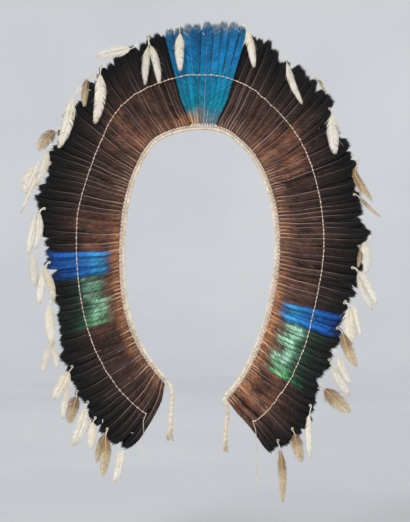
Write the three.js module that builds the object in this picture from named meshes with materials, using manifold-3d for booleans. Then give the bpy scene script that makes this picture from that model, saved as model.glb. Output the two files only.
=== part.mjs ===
// A feathered headdress: a horseshoe headband of cotton cord with a wide fan of feathers bound to its
// outer side, a sewing thread that holds the fan flat, small pale feathers hung from the rim, and a tie
// cord at each end.
//
// Lengths are millimetres and angles degrees. +X is to the right of someone who faces the fan, +Z is up,
// and the fan faces -Y. The origin is on the inner edge of the headband, at the middle of its top, where
// the band sits on the head. "Along" is a distance along the headband from that middle: negative to the
// left, positive to the right. "Out" is a distance from the headband along a feather.

import * as THREE from "three";
import { mergeVertices } from "three/addons/utils/BufferGeometryUtils.js";
import Module from "manifold-3d";

const wasm = await Module();
wasm.setup();

// Driving dimensions.
const gap = 0.3;                 // clearance between pieces that touch
const bandWidth = 8.6;           // inner cord and quill binding together, across the band
const cordRadius = (bandWidth - gap) / 4;
const bandStep = 12;             // length of one straight stretch of the band's solids
const bindingDepth = 5;          // front to back
const dishSlope = 0.12;          // how fast the fan leans towards the front as it leaves the band
const dishEase = 0.00027;        // how the lean fades towards the rim
const shingleSlope = 0.18;       // each feather is rolled, so its outer edge covers the next one
const middleLift = 1.3;          // the crown's middle feather lies on top of its neighbours
const endMargin = 3.2;           // from a group's first and last quill to the ends of its binding
const quillWidth = 2.2;
const quillStart = 1.2;          // the quills begin this far out, inside the binding
const shaftRidge = 0.55;         // height of a feather's shaft over its edges
const threadRadius = 0.6;        // sewing thread
const tieRadius = 2.9;           // tie cords
const pendantThickness = 1.5;
const pendantQuill = 1.5;        // width of a hanging feather's bare quill

// A row of named columns for each line of a table.
function table(columns, rows) {
  return rows.map((row) => Object.fromEntries(columns.map((name, column) => [name, row[column]])));
}

// The headband's centre line, from its left end over the head to its right end.
const bandRoute = [
  [-58.6, -412.5], [-72.6, -396], [-85, -379.5], [-95.7, -363], [-111.4, -330], [-121.3, -297],
  [-126.2, -264], [-128.7, -231], [-128.9, -198], [-127.4, -165], [-123.8, -132], [-116.3, -97],
  [-107, -69], [-91.6, -38], [-75, -18], [-52, -5.5], [-27, 1.5], [0, 4.3], [27, 2.3], [48.7, -6.6],
  [65.2, -19.8], [81.7, -36.5], [97, -60], [108, -84], [118, -115.5], [123.8, -148.5], [126, -181.5],
  [125.4, -214.5], [121.8, -247.5], [115.5, -280.5], [108, -313.5], [97.4, -346.5], [83.3, -379.5],
  [65.2, -412.5], [52, -429], [42, -439],
];

// How the feathers stand: the way each one points (0 is +X, 90 is up), how far its tip is from the
// band's centre line, how much its middle bows to the upper side, and where the sewing thread crosses.
const stations = table(["along", "heading", "length", "bow", "stitch"], [
  [-506, 242, 129, -8, 63],
  [-497, 236, 138, -5, 64],
  [-487, 229, 139, -3, 66],
  [-473, 219, 135, 0, 67],
  [-457, 212, 133, 1, 68],
  [-417, 202, 128, 3, 69],
  [-374, 199, 118, 3, 70],
  [-338, 192, 115, 2, 72],
  [-300, 189, 121, 2, 74],
  [-277, 185, 130, 2, 75],
  [-245, 176, 137, 2, 76],
  [-223, 172, 147, 3, 77],
  [-202, 169, 148, 6, 75],
  [-182, 164, 144, 7, 73],
  [-163, 156, 143, 7, 72],
  [-128, 141, 146, 3, 74],
  [-109, 135, 142, 0, 77],
  [-73, 120, 153, 0, 81],
  [-37, 112, 158, 0, 84],
  [-15, 107, 166, 0, 86],
  [-12, 105, 168, 0, 86],
  [5, 88, 175, 0, 86],
  [21, 73, 178, 0, 85],
  [27, 69, 164, 0, 84],
  [58, 64, 159, 0, 81],
  [80, 56, 160, 0, 79],
  [99, 48, 165, 0, 79],
  [117, 41, 159, 0, 79],
  [135, 29, 152, 1, 79],
  [160, 21, 148, 2, 78],
  [184, 13, 146, 3, 77],
  [233, 0, 150, 4, 77],
  [258, -3, 146, 4, 77],
  [307, -12, 138, 4, 74],
  [349, -16, 126, 2, 73],
  [388, -25, 127, 2, 74],
  [434, -31, 121, 1, 73],
  [457, -32, 128, 1, 71],
  [478, -36, 133, 3, 68],
  [499, -41, 133, 5, 66],
  [518, -45, 130, 7, 64],
  [527, -50, 124, 8, 60],
]);

const brown = { colour: 0x5a4438, roughness: 0.7 };
const blue = { colour: 0x1471b4, roughness: 0.55 };
const green = { colour: 0x3f7a5c, roughness: 0.65 };
const cotton = { colour: 0xead6b8, roughness: 0.9 };
const cream = { colour: 0xe3d6bd, roughness: 0.8 };
const tan = { colour: 0xc4a67e, roughness: 0.85 };

// The feathers of the fan in the groups they are bound in, from the left end to the right end. Each
// group takes its own stretch of the band; lift moves a group towards the front.
const fanGroups = table(["name", "from", "to", "feathers", "width", "lift", "finish"], [
  ["feathers_left_end_brown", -503.4, -375, 20, 21, 0, brown],
  ["feathers_left_green", -375, -301, 12, 19, 0, green],
  ["feathers_left_blue", -301, -268, 4, 19, 0, blue],
  ["feathers_left_brown_3", -268, -182, 13, 19, 0, brown],
  ["feathers_left_brown_2", -182, -109, 11, 19, 0, brown],
  ["feathers_left_brown_1", -109, -14, 14, 19, 0, brown],
  ["feathers_crown_blue", -14, 24, 9, 19.5, 2.2, blue],
  ["feathers_right_brown_1", 24, 104, 12, 19, 0, brown],
  ["feathers_right_brown_2", 104, 184, 13, 19, 0, brown],
  ["feathers_right_brown_3", 184, 266, 13, 19, 0, brown],
  ["feathers_right_brown_4", 266, 342, 12, 19, 0, brown],
  ["feathers_right_blue", 342, 370, 4, 19, 0, blue],
  ["feathers_right_green", 370, 446, 12, 19, 0, green],
  ["feathers_right_end_brown", 446, 530, 16, 18, 0, brown],
]);

// A feather's outline from quill to tip: share of its length, share of its width, share of its ridge.
const featherOutline = [
  [0, 0, 1], [0.2, 0.62, 1], [0.78, 1, 0.8], [1, 0.3, 0.45],
];
const hangingOutline = [
  [0, 0, 1], [0.18, 0.08, 1], [0.4, 0.9, 1], [0.76, 1, 0.8], [1, 0.16, 0.5],
];

// The feathers that hang from the rim. Each row is one feather: the pendant that it belongs to, the end
// of its bent quill, where its quill turns down, its tip, its width, how much its middle bows to the
// left, and its layer, counted from the fan towards the front.
const hangings = table(
  ["pendant", "hookX", "hookZ", "neckX", "neckZ", "tipX", "tipZ", "width", "bow", "layer", "finish"], [
    ["pendant_left_01", -35, 168, -33.8, 162.5, -33.2, 94, 15, 1, 0, cream],
    ["pendant_left_02", -86, 148, -85, 143, -91, 71, 12, 2, 0, cream],
    ["pendant_left_02", -86, 148, -84, 142, -67, 73, 12, -3, 1, cream],
    ["pendant_left_03", -107, 138, -110.6, 134, -173.4, 120.5, 17, -3, 0, cream],
    ["pendant_left_04", -160, 104, -163.7, 98, -173.4, 7.5, 18, -4, 1, cream],
    ["pendant_left_05", -180, 89, -185.6, 82.5, -190.6, 35.5, 12, 2, 0, tan],
    ["pendant_left_06", -201.5, 66, -211.5, 40, -233.8, -32.5, 18, -3, 0, cream],
    ["pendant_left_07", -232, 2, -246, -9, -267, -36, 20, 2, 0, tan],
    ["pendant_left_08", -246, -24, -249.5, -29, -270.3, -95, 13, -4, 1, cream],
    ["pendant_left_09", -268, -56, -270.3, -60.6, -289, -107, 21, 2, 0, cream],
    ["pendant_left_09", -269, -58, -271.4, -84, -296, -140, 5, 0, 1, tan],
    ["pendant_left_10", -258, -129, -264.2, -133.7, -283.6, -207, 15, 1, 0, cream],
    ["pendant_left_10", -258, -129, -263, -135, -272, -199, 12, -3, 1, cream],
    ["pendant_left_11", -268, -199, -273.6, -205, -272, -259, 14, 1, 2, cream],
    ["pendant_left_12", -250, -218, -256.7, -227, -265, -289, 15, 1, 0, cream],
    ["pendant_left_12", -250, -218, -255, -229, -240, -284, 13, -2, 1, cream],
    ["pendant_left_13", -244, -279, -247.3, -284, -243, -358, 16, 2, 2, cream],
    ["pendant_left_14", -241, -350, -245.2, -355, -258.9, -401, 13, 2, 0, cream],
    ["pendant_left_14", -241, -350, -244, -356, -234.6, -394, 12, -2, 1, cream],
    ["pendant_left_15", -210, -391, -215.3, -397, -242.7, -444, 20, -2, 0, cream],
    ["pendant_left_16", -211, -419, -215.8, -424, -227, -477.5, 12, 1, 1, cream],
    ["pendant_left_17", -204, -430.7, -203.3, -438, -215.3, -484, 20, 2, 0, tan],
    ["pendant_left_18", -184, -449, -187.4, -454.6, -209.6, -521, 21, -3, 1, cream],
    ["pendant_left_19", -172, -475, -176.4, -480, -179, -527, 15, 1, 0, cream],
    ["pendant_left_20", -152, -493, -156, -498, -171, -549.5, 12, 2, 0, tan],
    ["pendant_left_20", -152, -493, -155, -500, -160.5, -570, 17, -2, 1, cream],
    ["pendant_left_21", -138, -536, -130, -527, -142.4, -581.6, 15, -3, 0, cream],
    ["pendant_right_01", 71, 172, 73.9, 167, 88.3, 99.7, 13, -2, 0, cream],
    ["pendant_right_02", 138, 121, 140.3, 115, 167.8, 40, 11, 4, 0, cream],
    ["pendant_right_03", 190, 86, 197, 77, 206, 60, 5, 1, 0, tan],
    ["pendant_right_04", 214, 34, 216.6, 21, 221, -42.2, 19, 1, 0, cream],
    ["pendant_right_05", 260, -53, 252.5, -69, 266, -110.6, 7, 2, 0, tan],
    ["pendant_right_05", 260, -53, 253.5, -70, 283, -119, 11, 2, 1, cream],
    ["pendant_right_06", 254, -106, 260, -111, 296.5, -145, 6, 2, 2, tan],
    ["pendant_right_07", 279, -177, 270.3, -190, 271.4, -239, 16, -2, 0, cream],
    ["pendant_right_17", 262, -192, 262, -203, 258, -228, 8, -1, 1, tan],
    ["pendant_right_08", 251, -226, 256.6, -231.5, 283, -298, 13, 2, 0, cream],
    ["pendant_right_08", 251, -226, 257.5, -230, 291, -289, 12, -2, 1, cream],
    ["pendant_right_09", 238, -284, 243.2, -290, 247.3, -356, 21, 0, 0, cream],
    ["pendant_right_09", 238, -284, 250, -291, 263.7, -342, 8, -1, 1, cream],
    ["pendant_right_10", 226, -326, 230.8, -331, 256.6, -391, 17, 2, 2, tan],
    ["pendant_right_11", 220, -365, 225.2, -371, 246, -418.6, 14, 1, 1, cream],
    ["pendant_right_12", 213, -378, 215.8, -386, 246, -439, 16, 2, 0, cream],
    ["pendant_right_13", 197, -419, 202, -424, 247, -465.5, 23, 2, 0, tan],
    ["pendant_right_14", 182, -454, 178, -474, 180, -543.5, 10, 1, 1, cream],
    ["pendant_right_15", 150, -493, 154, -498, 167, -548, 18, 1, 0, tan],
    ["pendant_right_16", 126, -512, 129, -518, 134.5, -613.8, 13, -3, 0, tan],
  ]);

// The loose ends, from where each leaves the headdress to its last knot. Depths are front to back.
const tieRoutes = {
  tie_cord_left: [
    [-56.6, 0, -414.6], [-52, 0, -418.8], [-47.5, -0.5, -427], [-46.5, -1, -437], [-47.2, -1, -450],
    [-48, -1, -463], [-49.3, -1, -477], [-48.8, -1, -491],
  ],
  tie_cord_right: [
    [40.6, 0, -441.4], [39.6, 0, -446.6], [43.8, -0.5, -456], [44.8, -1, -466], [43.8, -1, -479],
    [41.6, -1, -495], [41.3, -1, -511],
  ],
};
const tasselDrops = table(["name", "cord", "drop", "lean", "width"], [
  ["tie_tassel_left", "tie_cord_left", 22, -3, 17],
  ["tie_tassel_right", "tie_cord_right", 20, -1, 13],
]);
const threadTails = table(["name", "side", "route"], [
  ["thread_tail_left", 0, [[-93.9, -480], [-93.2, -495], [-94.6, -520], [-96, -546]]],
  ["thread_tail_right", 1, [[90.6, -495], [91.3, -528], [91.6, -561], [93, -583], [95, -597]]],
]);

// Geometry.

const front = new THREE.Vector3(0, -1, 0);
const bandCurve = new THREE.CatmullRomCurve3(bandRoute.map(([x, z]) => new THREE.Vector3(x, 0, z)));
bandCurve.arcLengthDivisions = 600;
const bandLength = bandCurve.getLength();
const crownAt = lengthToCrown();

// How far along the curve the middle of the headband's top is.
function lengthToCrown() {
  const top = bandRoute.findIndex(([x]) => x === 0);
  const share = bandCurve.getLengths(600)[Math.round((600 * top) / (bandRoute.length - 1))];
  return share;
}

// A point on the band's centre line, the way the band runs there, and the way in from it to the head.
function onBand(along) {
  const share = THREE.MathUtils.clamp((crownAt + along) / bandLength, 0, 1);
  const point = bandCurve.getPointAt(share);
  const run = bandCurve.getTangentAt(share);
  const inward = new THREE.Vector3().crossVectors(run, front);
  return { point, inward };
}

// The station values at any place along the band, in proportion between the rows of the table.
function standing(along) {
  const next = stations.findIndex((station) => station.along >= along);
  if (next < 1) return stations.at(next);
  const [low, high] = [stations[next - 1], stations[next]];
  const share = (along - low.along) / (high.along - low.along);
  const mix = (name) => THREE.MathUtils.lerp(low[name], high[name], share);
  return { heading: mix("heading"), length: mix("length"), bow: mix("bow"), stitch: mix("stitch") };
}

const dish = (out) => out * dishSlope - out * out * dishEase;

// A column's value at a share of an outline, in proportion between its rows.
function profile(outline, share, column) {
  const next = Math.max(1, outline.findIndex((row) => row[0] >= share - 1e-9));
  const [low, high] = [outline[next - 1], outline[next]];
  return THREE.MathUtils.lerp(low[column], high[column], (share - low[0]) / (high[0] - low[0]));
}

// A closed solid along a line: a cylinder whose rings are placed one by one. place(share, across,
// forward) says where a ring's point goes; across and forward run from -1 to 1 over the section.
function loft(sides, rings, turn, place) {
  const solid = new THREE.CylinderGeometry(1, 1, 1, sides, rings.length - 1, false, turn);
  const spots = solid.attributes.position;
  for (let index = 0; index < spots.count; index += 1) {
    const ring = Math.round((spots.getY(index) + 0.5) * (rings.length - 1));
    const spot = place(rings[ring], spots.getX(index), spots.getZ(index));
    spots.setXYZ(index, spot.x, spot.y, spot.z);
  }
  return bare(solid);
}

// Only positions, with shared corners merged, so that the surface is closed.
function bare(geometry) {
  const positions = geometry.clone();
  positions.deleteAttribute("normal");
  positions.deleteAttribute("uv");
  return mergeVertices(positions, 1e-4);
}

const evenRings = (count) => Array.from({ length: count + 1 }, (_, ring) => ring / count);

// A round tube along a curve, with flat ends.
function tube(curve, radius, steps, sides) {
  const section = new THREE.Shape();
  section.absarc(0, 0, radius, 0, 2 * Math.PI);
  const options = { extrudePath: curve, steps, curveSegments: sides / 2, bevelEnabled: false };
  return bare(new THREE.ExtrudeGeometry(section, options));
}

function toManifold(geometry) {
  const vertProperties = new Float32Array(geometry.attributes.position.array);
  const triVerts = new Uint32Array(geometry.index.array);
  return new wasm.Manifold(new wasm.Mesh({ numProp: 3, vertProperties, triVerts }));
}

function fuse(geometries) {
  const joined = geometries.map(toManifold).reduce((whole, piece) => whole.add(piece));
  const { vertProperties, triVerts } = joined.getMesh();
  const geometry = new THREE.BufferGeometry();
  geometry.setAttribute("position", new THREE.BufferAttribute(new Float32Array(vertProperties), 3));
  geometry.setIndex(new THREE.BufferAttribute(new Uint32Array(triVerts), 1));
  return geometry;
}

function named(name, geometry, finish) {
  const { colour: color, roughness } = finish;
  const material = new THREE.MeshStandardMaterial({ color, roughness, metalness: 0 });
  const mesh = new THREE.Mesh(geometry, material);
  mesh.name = name;
  return mesh;
}

// The feathers of the fan.

// Where along the band a group's quill is bound; a half index is between two quills.
function quillAt(group, index) {
  const pitch = (group.to - group.from - 2 * endMargin) / (group.feathers - 1);
  return group.from + endMargin + index * pitch;
}

// Where each feather of a group is bound, with its way of standing. The crown's middle feather lies
// flat on top, and the rest are rolled so that each covers the next one out.
function feathersOf(group) {
  return Array.from({ length: group.feathers }, (_, index) => {
    const along = quillAt(group, index);
    const { heading, length, bow, stitch } = standing(along);
    const angle = THREE.MathUtils.degToRad(heading);
    const way = new THREE.Vector3(Math.cos(angle), 0, Math.sin(angle));
    const across = new THREE.Vector3().crossVectors(way, front);
    const upper = Math.sign(along - crownMiddle) * -bow;
    const roll = Math.abs(along - crownMiddle) < quillWidth ? 0 : Math.sign(along - crownMiddle);
    const lift = group.lift + (roll === 0 ? middleLift : 0);
    return { foot: onBand(along).point, way, across, upper, roll, length, stitch, lift,
      width: group.width };
  });
}

const crownGroup = fanGroups.find((group) => group.name === "feathers_crown_blue");
const crownMiddle = (crownGroup.from + crownGroup.to) / 2;
const fan = fanGroups.map((group) => ({ ...group, members: feathersOf(group) }));
const fanFeathers = fan.flatMap((group) => group.members);

// The half width of a feather at a distance out along it.
function halfWidth(feather, out) {
  const share = THREE.MathUtils.clamp(out / feather.length, 0, 1);
  return Math.max(quillWidth, feather.width * profile(featherOutline, share, 1)) / 2;
}

// A point of a feather: out along its shaft, to one side, and forward of its own plane.
function onFeather(feather, out, side, forward) {
  const share = out / feather.length;
  const sideways = side + feather.upper * 4 * share * (1 - share);
  const eased = Math.min(1, out / 30);
  const towardsFront = dish(out) + eased * (feather.lift + feather.roll * shingleSlope * side) + forward;
  return feather.foot.clone()
    .addScaledVector(feather.way, out)
    .addScaledVector(feather.across, sideways)
    .addScaledVector(front, towardsFront);
}

// One feather, with a flat back and its shaft as a low ridge in front.
function featherSolid(feather) {
  const triangle = Math.sqrt(3) / 2;
  return loft(3, featherOutline, 0, (ring, across, forward) => {
    const out = THREE.MathUtils.lerp(quillStart, feather.length, ring[0]);
    const side = (across / triangle) * halfWidth(feather, out);
    return onFeather(feather, out, side, forward * shaftRidge * ring[2]);
  });
}

// The stretch of lashing that holds one group's quills, on the outer side of the headband's cord. It
// bends only between two quills.
function bindingSolid(group) {
  const bends = [group.from + gap / 2];
  for (let index = 1; index < group.feathers - 1; index += 2) bends.push(quillAt(group, index + 0.5));
  bends.push(group.to - gap / 2);
  return loft(4, bends, Math.PI / 4, (along, across, forward) => {
    const { point, inward } = onBand(along);
    return point.addScaledVector(inward, -gap / 2 - cordRadius * (1 - across * Math.SQRT2))
      .addScaledVector(front, (forward * Math.SQRT2 * bindingDepth) / 2);
  });
}

// How far forward the fan reaches at one of its feathers, counting its neighbours' raised edges.
function frontNear(index, out) {
  const near = fanFeathers.slice(Math.max(0, index - 2), index + 3);
  const reach = near.map((feather) => feather.lift + shingleSlope * halfWidth(feather, out));
  return dish(out) + Math.max(...reach) + shaftRidge;
}

// How far forward the fan reaches anywhere, for what hangs in front of it.
function frontAt(x, z) {
  const reaches = fanFeathers.map((feather, index) => {
    const offset = new THREE.Vector3(x, 0, z).sub(feather.foot);
    const out = offset.dot(feather.way);
    const side = Math.abs(offset.dot(feather.across));
    const covers = out > 0 && out < feather.length + 10 && side < feather.width;
    return covers ? frontNear(index, Math.min(out, feather.length)) : 0;
  });
  return Math.max(12, ...reaches);
}

// The sewing thread, which crosses every third feather and turns down at both ends of the fan.
function threadRoute() {
  const crossings = fanFeathers.map((feather, index) => {
    const forward = frontNear(index, feather.stitch) - dish(feather.stitch) + threadRadius + gap;
    const flat = { ...feather, roll: 0, lift: 0 };
    return onFeather(flat, feather.stitch, 0, forward);
  });
  const last = crossings.length - 1;
  return crossings.filter((_, index) => index % 3 === 0 || index === last);
}

// The hanging feathers.

function hangingSolid(row) {
  const middleX = (row.neckX + row.tipX) / 2 - row.bow;
  const middleZ = (row.neckZ + row.tipZ) / 2;
  const body = [[row.neckX, row.neckZ], [middleX, middleZ], [row.tipX, row.tipZ]];
  const reach = Math.max(...body.map(([x, z]) => frontAt(x, z))) + 1.4 + 2 * row.layer;
  const hookReach = frontAt(row.hookX, row.hookZ) + pendantQuill / 2 + gap;
  const line = [new THREE.Vector3(row.hookX, -hookReach, row.hookZ),
    ...body.map(([x, z]) => new THREE.Vector3(x, -reach, z))];
  const curve = new THREE.CatmullRomCurve3(line);
  return loft(4, hangingOutline, 0, (ring, across, forward) => {
    const point = curve.getPointAt(ring[0]);
    const way = curve.getTangentAt(ring[0]).setY(0).normalize();
    const side = new THREE.Vector3().crossVectors(way, front);
    const half = Math.max(pendantQuill, row.width * ring[1]) / 2;
    return point.addScaledVector(side, across * half)
      .addScaledVector(front, (forward * pendantThickness * ring[2]) / 2);
  });
}

function pendants() {
  const names = [...new Set(hangings.map((row) => row.pendant))];
  return names.map((name) => {
    const rows = hangings.filter((row) => row.pendant === name);
    const solids = rows.map(hangingSolid);
    const geometry = solids.length > 1 ? fuse(solids) : solids[0];
    return named(name, geometry, rows[0].finish);
  });
}

// The cords.

function tassel(row) {
  const knot = new THREE.Vector3(...tieRoutes[row.cord].at(-1));
  const rings = [[0, 0.5], [0.12, 0.62], [0.3, 0.5], [0.65, 0.8], [1, 1]];
  const solid = loft(8, rings, 0, ([share, size], across, forward) => new THREE.Vector3(
    knot.x + row.lean * share + (across * size * row.width) / 2,
    knot.y + forward * size * tieRadius * 1.3,
    knot.z - gap - row.drop * share,
  ));
  return solid;
}

function cords() {
  const inner = loft(6, evenRings(Math.round(bandLength / bandStep)), 0, (share, across, forward) => {
    const { point, inward } = onBand(share * bandLength - crownAt);
    return point.addScaledVector(inward, gap / 2 + cordRadius * (1 + across))
      .addScaledVector(front, forward * cordRadius * 1.1);
  });
  const ties = Object.entries(tieRoutes).map(([name, route]) => {
    const curve = new THREE.CatmullRomCurve3(route.map((spot) => new THREE.Vector3(...spot)));
    return named(name, tube(curve, tieRadius, 10, 8), cotton);
  });
  return [named("headband_cord", inner, cotton), ...ties,
    ...tasselDrops.map((row) => named(row.name, tassel(row), cotton))];
}

function threads() {
  const route = threadRoute();
  const path = new THREE.CatmullRomCurve3(route);
  const thread = named("sewing_thread", tube(path, threadRadius, route.length, 6), cotton);
  const ends = [route[0], route.at(-1)];
  const tails = threadTails.map((row) => {
    const end = ends[row.side];
    const start = end.clone().add(new THREE.Vector3(0, 0, -threadRadius - 1.2));
    const hang = -Math.max(...row.route.map(([x, z]) => frontAt(x, z))) - threadRadius - gap;
    const points = [start, ...row.route.map(([x, z]) => new THREE.Vector3(x, hang, z))];
    const curve = new THREE.CatmullRomCurve3(points);
    const steps = Math.round(curve.getLength() / (6 * threadRadius));
    return named(row.name, tube(curve, threadRadius, steps, 8), cotton);
  });
  return [thread, ...tails];
}

const headdress = new THREE.Group();
for (const group of fan) {
  const solids = [bindingSolid(group), ...group.members.map(featherSolid)];
  headdress.add(named(group.name, fuse(solids), group.finish));
}
headdress.add(...cords(), ...threads(), ...pendants());

export default headdress;
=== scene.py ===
# %% [markdown]
# # A feathered headdress
#
# This headdress is a soft horseshoe band of cotton with a wide fan of flight feathers bound to its outer
# side. A light thread runs over the shafts and keeps the fan flat, small pale feathers hang in front of
# the rim, and each end of the band leaves in a tie cord with a frayed tassel. All of it is feather and
# thread, so the lesson is about two things: how a feather is put together from barbs, and how yarn is
# twisted.
#
# We start from a measured model of the piece. It gives the true size and place of each group of feathers,
# and what we make here stands for those plain solids.

# %% Load the measured model
import math

import bpy
import numpy as np
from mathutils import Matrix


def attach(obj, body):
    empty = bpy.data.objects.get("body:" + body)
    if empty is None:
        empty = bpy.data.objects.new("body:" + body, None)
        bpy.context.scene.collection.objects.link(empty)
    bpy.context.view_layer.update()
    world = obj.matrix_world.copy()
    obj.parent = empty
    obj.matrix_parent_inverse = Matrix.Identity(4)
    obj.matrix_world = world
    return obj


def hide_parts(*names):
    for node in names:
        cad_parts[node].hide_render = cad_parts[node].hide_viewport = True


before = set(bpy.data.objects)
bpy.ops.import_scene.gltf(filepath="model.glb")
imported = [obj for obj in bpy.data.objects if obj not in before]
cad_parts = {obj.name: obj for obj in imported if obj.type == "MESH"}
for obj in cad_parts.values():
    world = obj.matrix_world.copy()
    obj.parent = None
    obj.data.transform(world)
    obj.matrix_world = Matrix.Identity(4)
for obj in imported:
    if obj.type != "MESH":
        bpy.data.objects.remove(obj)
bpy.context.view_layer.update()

# %% [markdown]
# ## Sizes
#
# A craft piece is easiest to describe by the few sizes that its maker kept to: how wide the band is, how
# far the fan leans forward, how thick the yarn is. Everything else is worked out from these. Blender
# counts in metres, and feathers are easier to think of in millimetres, so every size is multiplied by MM
# once, where it is written.

# %% Sizes that everything is worked out from
MM = 0.001
FRONT = np.array([0.0, -1.0, 0.0])

GAP = 0.3 * MM                 # clearance between pieces that touch
BAND_WIDTH = 8.6 * MM          # inner cord and outer lashing together
ROW_RADIUS = (BAND_WIDTH - GAP) / 4
DISH_SLOPE = 0.12              # how fast the fan leans to the front as it leaves the band
DISH_EASE = 0.27               # how the lean fades towards the rim, for each metre
SHINGLE_SLOPE = 0.18           # each feather is rolled, so that its outer edge covers the next one
MIDDLE_LIFT = 1.3 * MM
END_MARGIN = 3.2 * MM          # from a group's first and last quill to the ends of its lashing
QUILL_WIDTH = 2.2 * MM
SHAFT_RIDGE = 0.55 * MM
THREAD_RADIUS = 0.6 * MM
TIE_RADIUS = 2.9 * MM
PENDANT_QUILL = 1.5 * MM


def table(columns, rows):
    """Rows of plain values as dictionaries with named columns."""
    return [dict(zip(columns.split(), row)) for row in rows]


def paint(code):
    """A colour written as #rrggbb, in the linear values that Blender's shaders use."""
    channels = [int(code[start:start + 2], 16) / 255 for start in (1, 3, 5)]
    linear = [c / 12.92 if c <= 0.04045 else ((c + 0.055) / 1.055) ** 2.4 for c in channels]
    return (*linear, 1.0)


print("each row of the band is", round(2 * ROW_RADIUS / MM, 2), "mm wide")

# %% [markdown]
# ## The camera
#
# The fan is nearly flat, so it is seen best straight from the front and from far away: a long lens keeps
# the rim and the band at one scale. Setting the camera first means that each later step can be judged in
# the picture that we want in the end.

# %% Camera
CAMERA_PLACE = (7.4 * MM, -3.2, -216 * MM)
CAMERA_DISTANCE = -CAMERA_PLACE[1]
FIELD_HEIGHT = 0.861
SENSOR = 36.0
FAR_LIMIT = 60


def add_camera():
    camera = bpy.data.cameras.new("camera")
    camera.sensor_width = SENSOR
    camera.lens = SENSOR * CAMERA_DISTANCE / FIELD_HEIGHT
    camera.clip_end = FAR_LIMIT
    holder = bpy.data.objects.new("camera", camera)
    holder.location = CAMERA_PLACE
    holder.rotation_euler = (math.radians(90), 0, 0)
    bpy.context.scene.collection.objects.link(holder)
    bpy.context.scene.camera = holder
    return camera


print("lens in millimetres:", round(add_camera().lens, 1))

# %% [markdown]
# ## Lines that pass through given points
#
# Yarn never turns a sharp corner, so its route is a smooth line through a few points. A Catmull-Rom line
# passes through every point that is given, which makes it simple to place them one by one. The centripetal
# kind divides each stretch by the square root of its length, and so it makes no loops where two points are
# close. Bezier curves would also do, but each of their points needs two handles.

# %% A smooth line and measures along it
PER_STRETCH = 24    # points between two of the given ones


def smooth_line(points):
    """A centripetal Catmull-Rom line through the points, as a dense row of points."""
    spots = np.asarray(points, float)
    spots = np.vstack([2 * spots[0] - spots[1], spots, 2 * spots[-1] - spots[-2]])
    gaps = np.maximum(np.sqrt(np.linalg.norm(np.diff(spots, axis=0), axis=1)), 1e-6)
    t = np.linspace(0, 1, PER_STRETCH, endpoint=False)[:, None]
    stretches = []
    for k in range(1, len(spots) - 2):
        before, here, after = gaps[k - 1:k + 2]
        back, start, end, ahead = spots[k - 1:k + 3]
        leave = (start - back) / before - (end - back) / (before + here) + (end - start) / here
        arrive = (end - start) / here - (ahead - start) / (here + after) + (ahead - end) / after
        leave, arrive = leave * here, arrive * here
        square = -3 * start + 3 * end - 2 * leave - arrive
        cube = 2 * start - 2 * end + leave + arrive
        stretches.append(start + leave * t + square * t ** 2 + cube * t ** 3)
    return np.vstack([*stretches, spots[-2][None]])


def lengths_along(line):
    """How far along the line each of its points is."""
    steps = np.linalg.norm(np.diff(line, axis=0), axis=1)
    return np.concatenate([[0], np.cumsum(steps)])


def at_length(line, distance):
    """Points of the line at these distances along it."""
    lengths = lengths_along(line)
    return np.stack([np.interp(distance, lengths, line[:, axis]) for axis in range(3)], axis=-1)


def unit(vectors):
    return vectors / np.maximum(np.linalg.norm(vectors, axis=-1, keepdims=True), 1e-12)


def even_line(line, step):
    """The same line with points at an even step."""
    total = lengths_along(line)[-1]
    return at_length(line, np.linspace(0, total, max(2, round(total / step) + 1)))


bent = smooth_line([(0, 0, 0), (1, 0, 0), (1, 0, 1)])
print("a line round a corner of 2 is", round(float(lengths_along(bent)[-1]), 3), "long")

# %% [markdown]
# ## The band's line
#
# The band is held in a horseshoe by the feathers themselves. Places on it are given as a distance from
# the middle of its top: negative to the left and positive to the right.

# %% The headband's centre line
BAND_ROUTE = [
    (-58.6, -412.5), (-72.6, -396), (-85, -379.5), (-95.7, -363), (-111.4, -330), (-121.3, -297),
    (-126.2, -264), (-128.7, -231), (-128.9, -198), (-127.4, -165), (-123.8, -132), (-116.3, -97),
    (-107, -69), (-91.6, -38), (-75, -18), (-52, -5.5), (-27, 1.5), (0, 4.3), (27, 2.3), (48.7, -6.6),
    (65.2, -19.8), (81.7, -36.5), (97, -60), (108, -84), (118, -115.5), (123.8, -148.5), (126, -181.5),
    (125.4, -214.5), (121.8, -247.5), (115.5, -280.5), (108, -313.5), (97.4, -346.5), (83.3, -379.5),
    (65.2, -412.5), (52, -429), (42, -439),
]
band_line = smooth_line([(x * MM, 0, z * MM) for x, z in BAND_ROUTE])
band_lengths = lengths_along(band_line)
band_length = band_lengths[-1]
crown_at = band_lengths[PER_STRETCH * BAND_ROUTE.index((0, 4.3))]


def on_band(along):
    """Points of the band's centre line, the way that it runs, and the way in to the head."""
    distance = np.clip(crown_at + np.asarray(along, float), 0, band_length)
    point = at_length(band_line, distance)
    reach = 0.5 * MM
    ahead = at_length(band_line, np.minimum(distance + reach, band_length))
    behind = at_length(band_line, np.maximum(distance - reach, 0))
    run = unit(ahead - behind)
    return point, run, np.cross(run, FRONT)


print("band in millimetres:", round(band_length / MM), "with its crown at", round(crown_at / MM, 1))

# %% [markdown]
# ## How the feathers stand
#
# Binding feathers to a band is done by eye: the maker turns each one a little further round. So a short
# table says how they stand at some places along the band, and every feather takes values in proportion
# between two rows. The columns are the way that a feather points, its length, how much its middle bows to
# the upper side, and where the sewing thread crosses it. A second table says where the feathers have faded
# to a redder or brighter tone, and where their quills are pale. The third lists the groups, which were
# bound one after the other.

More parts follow.
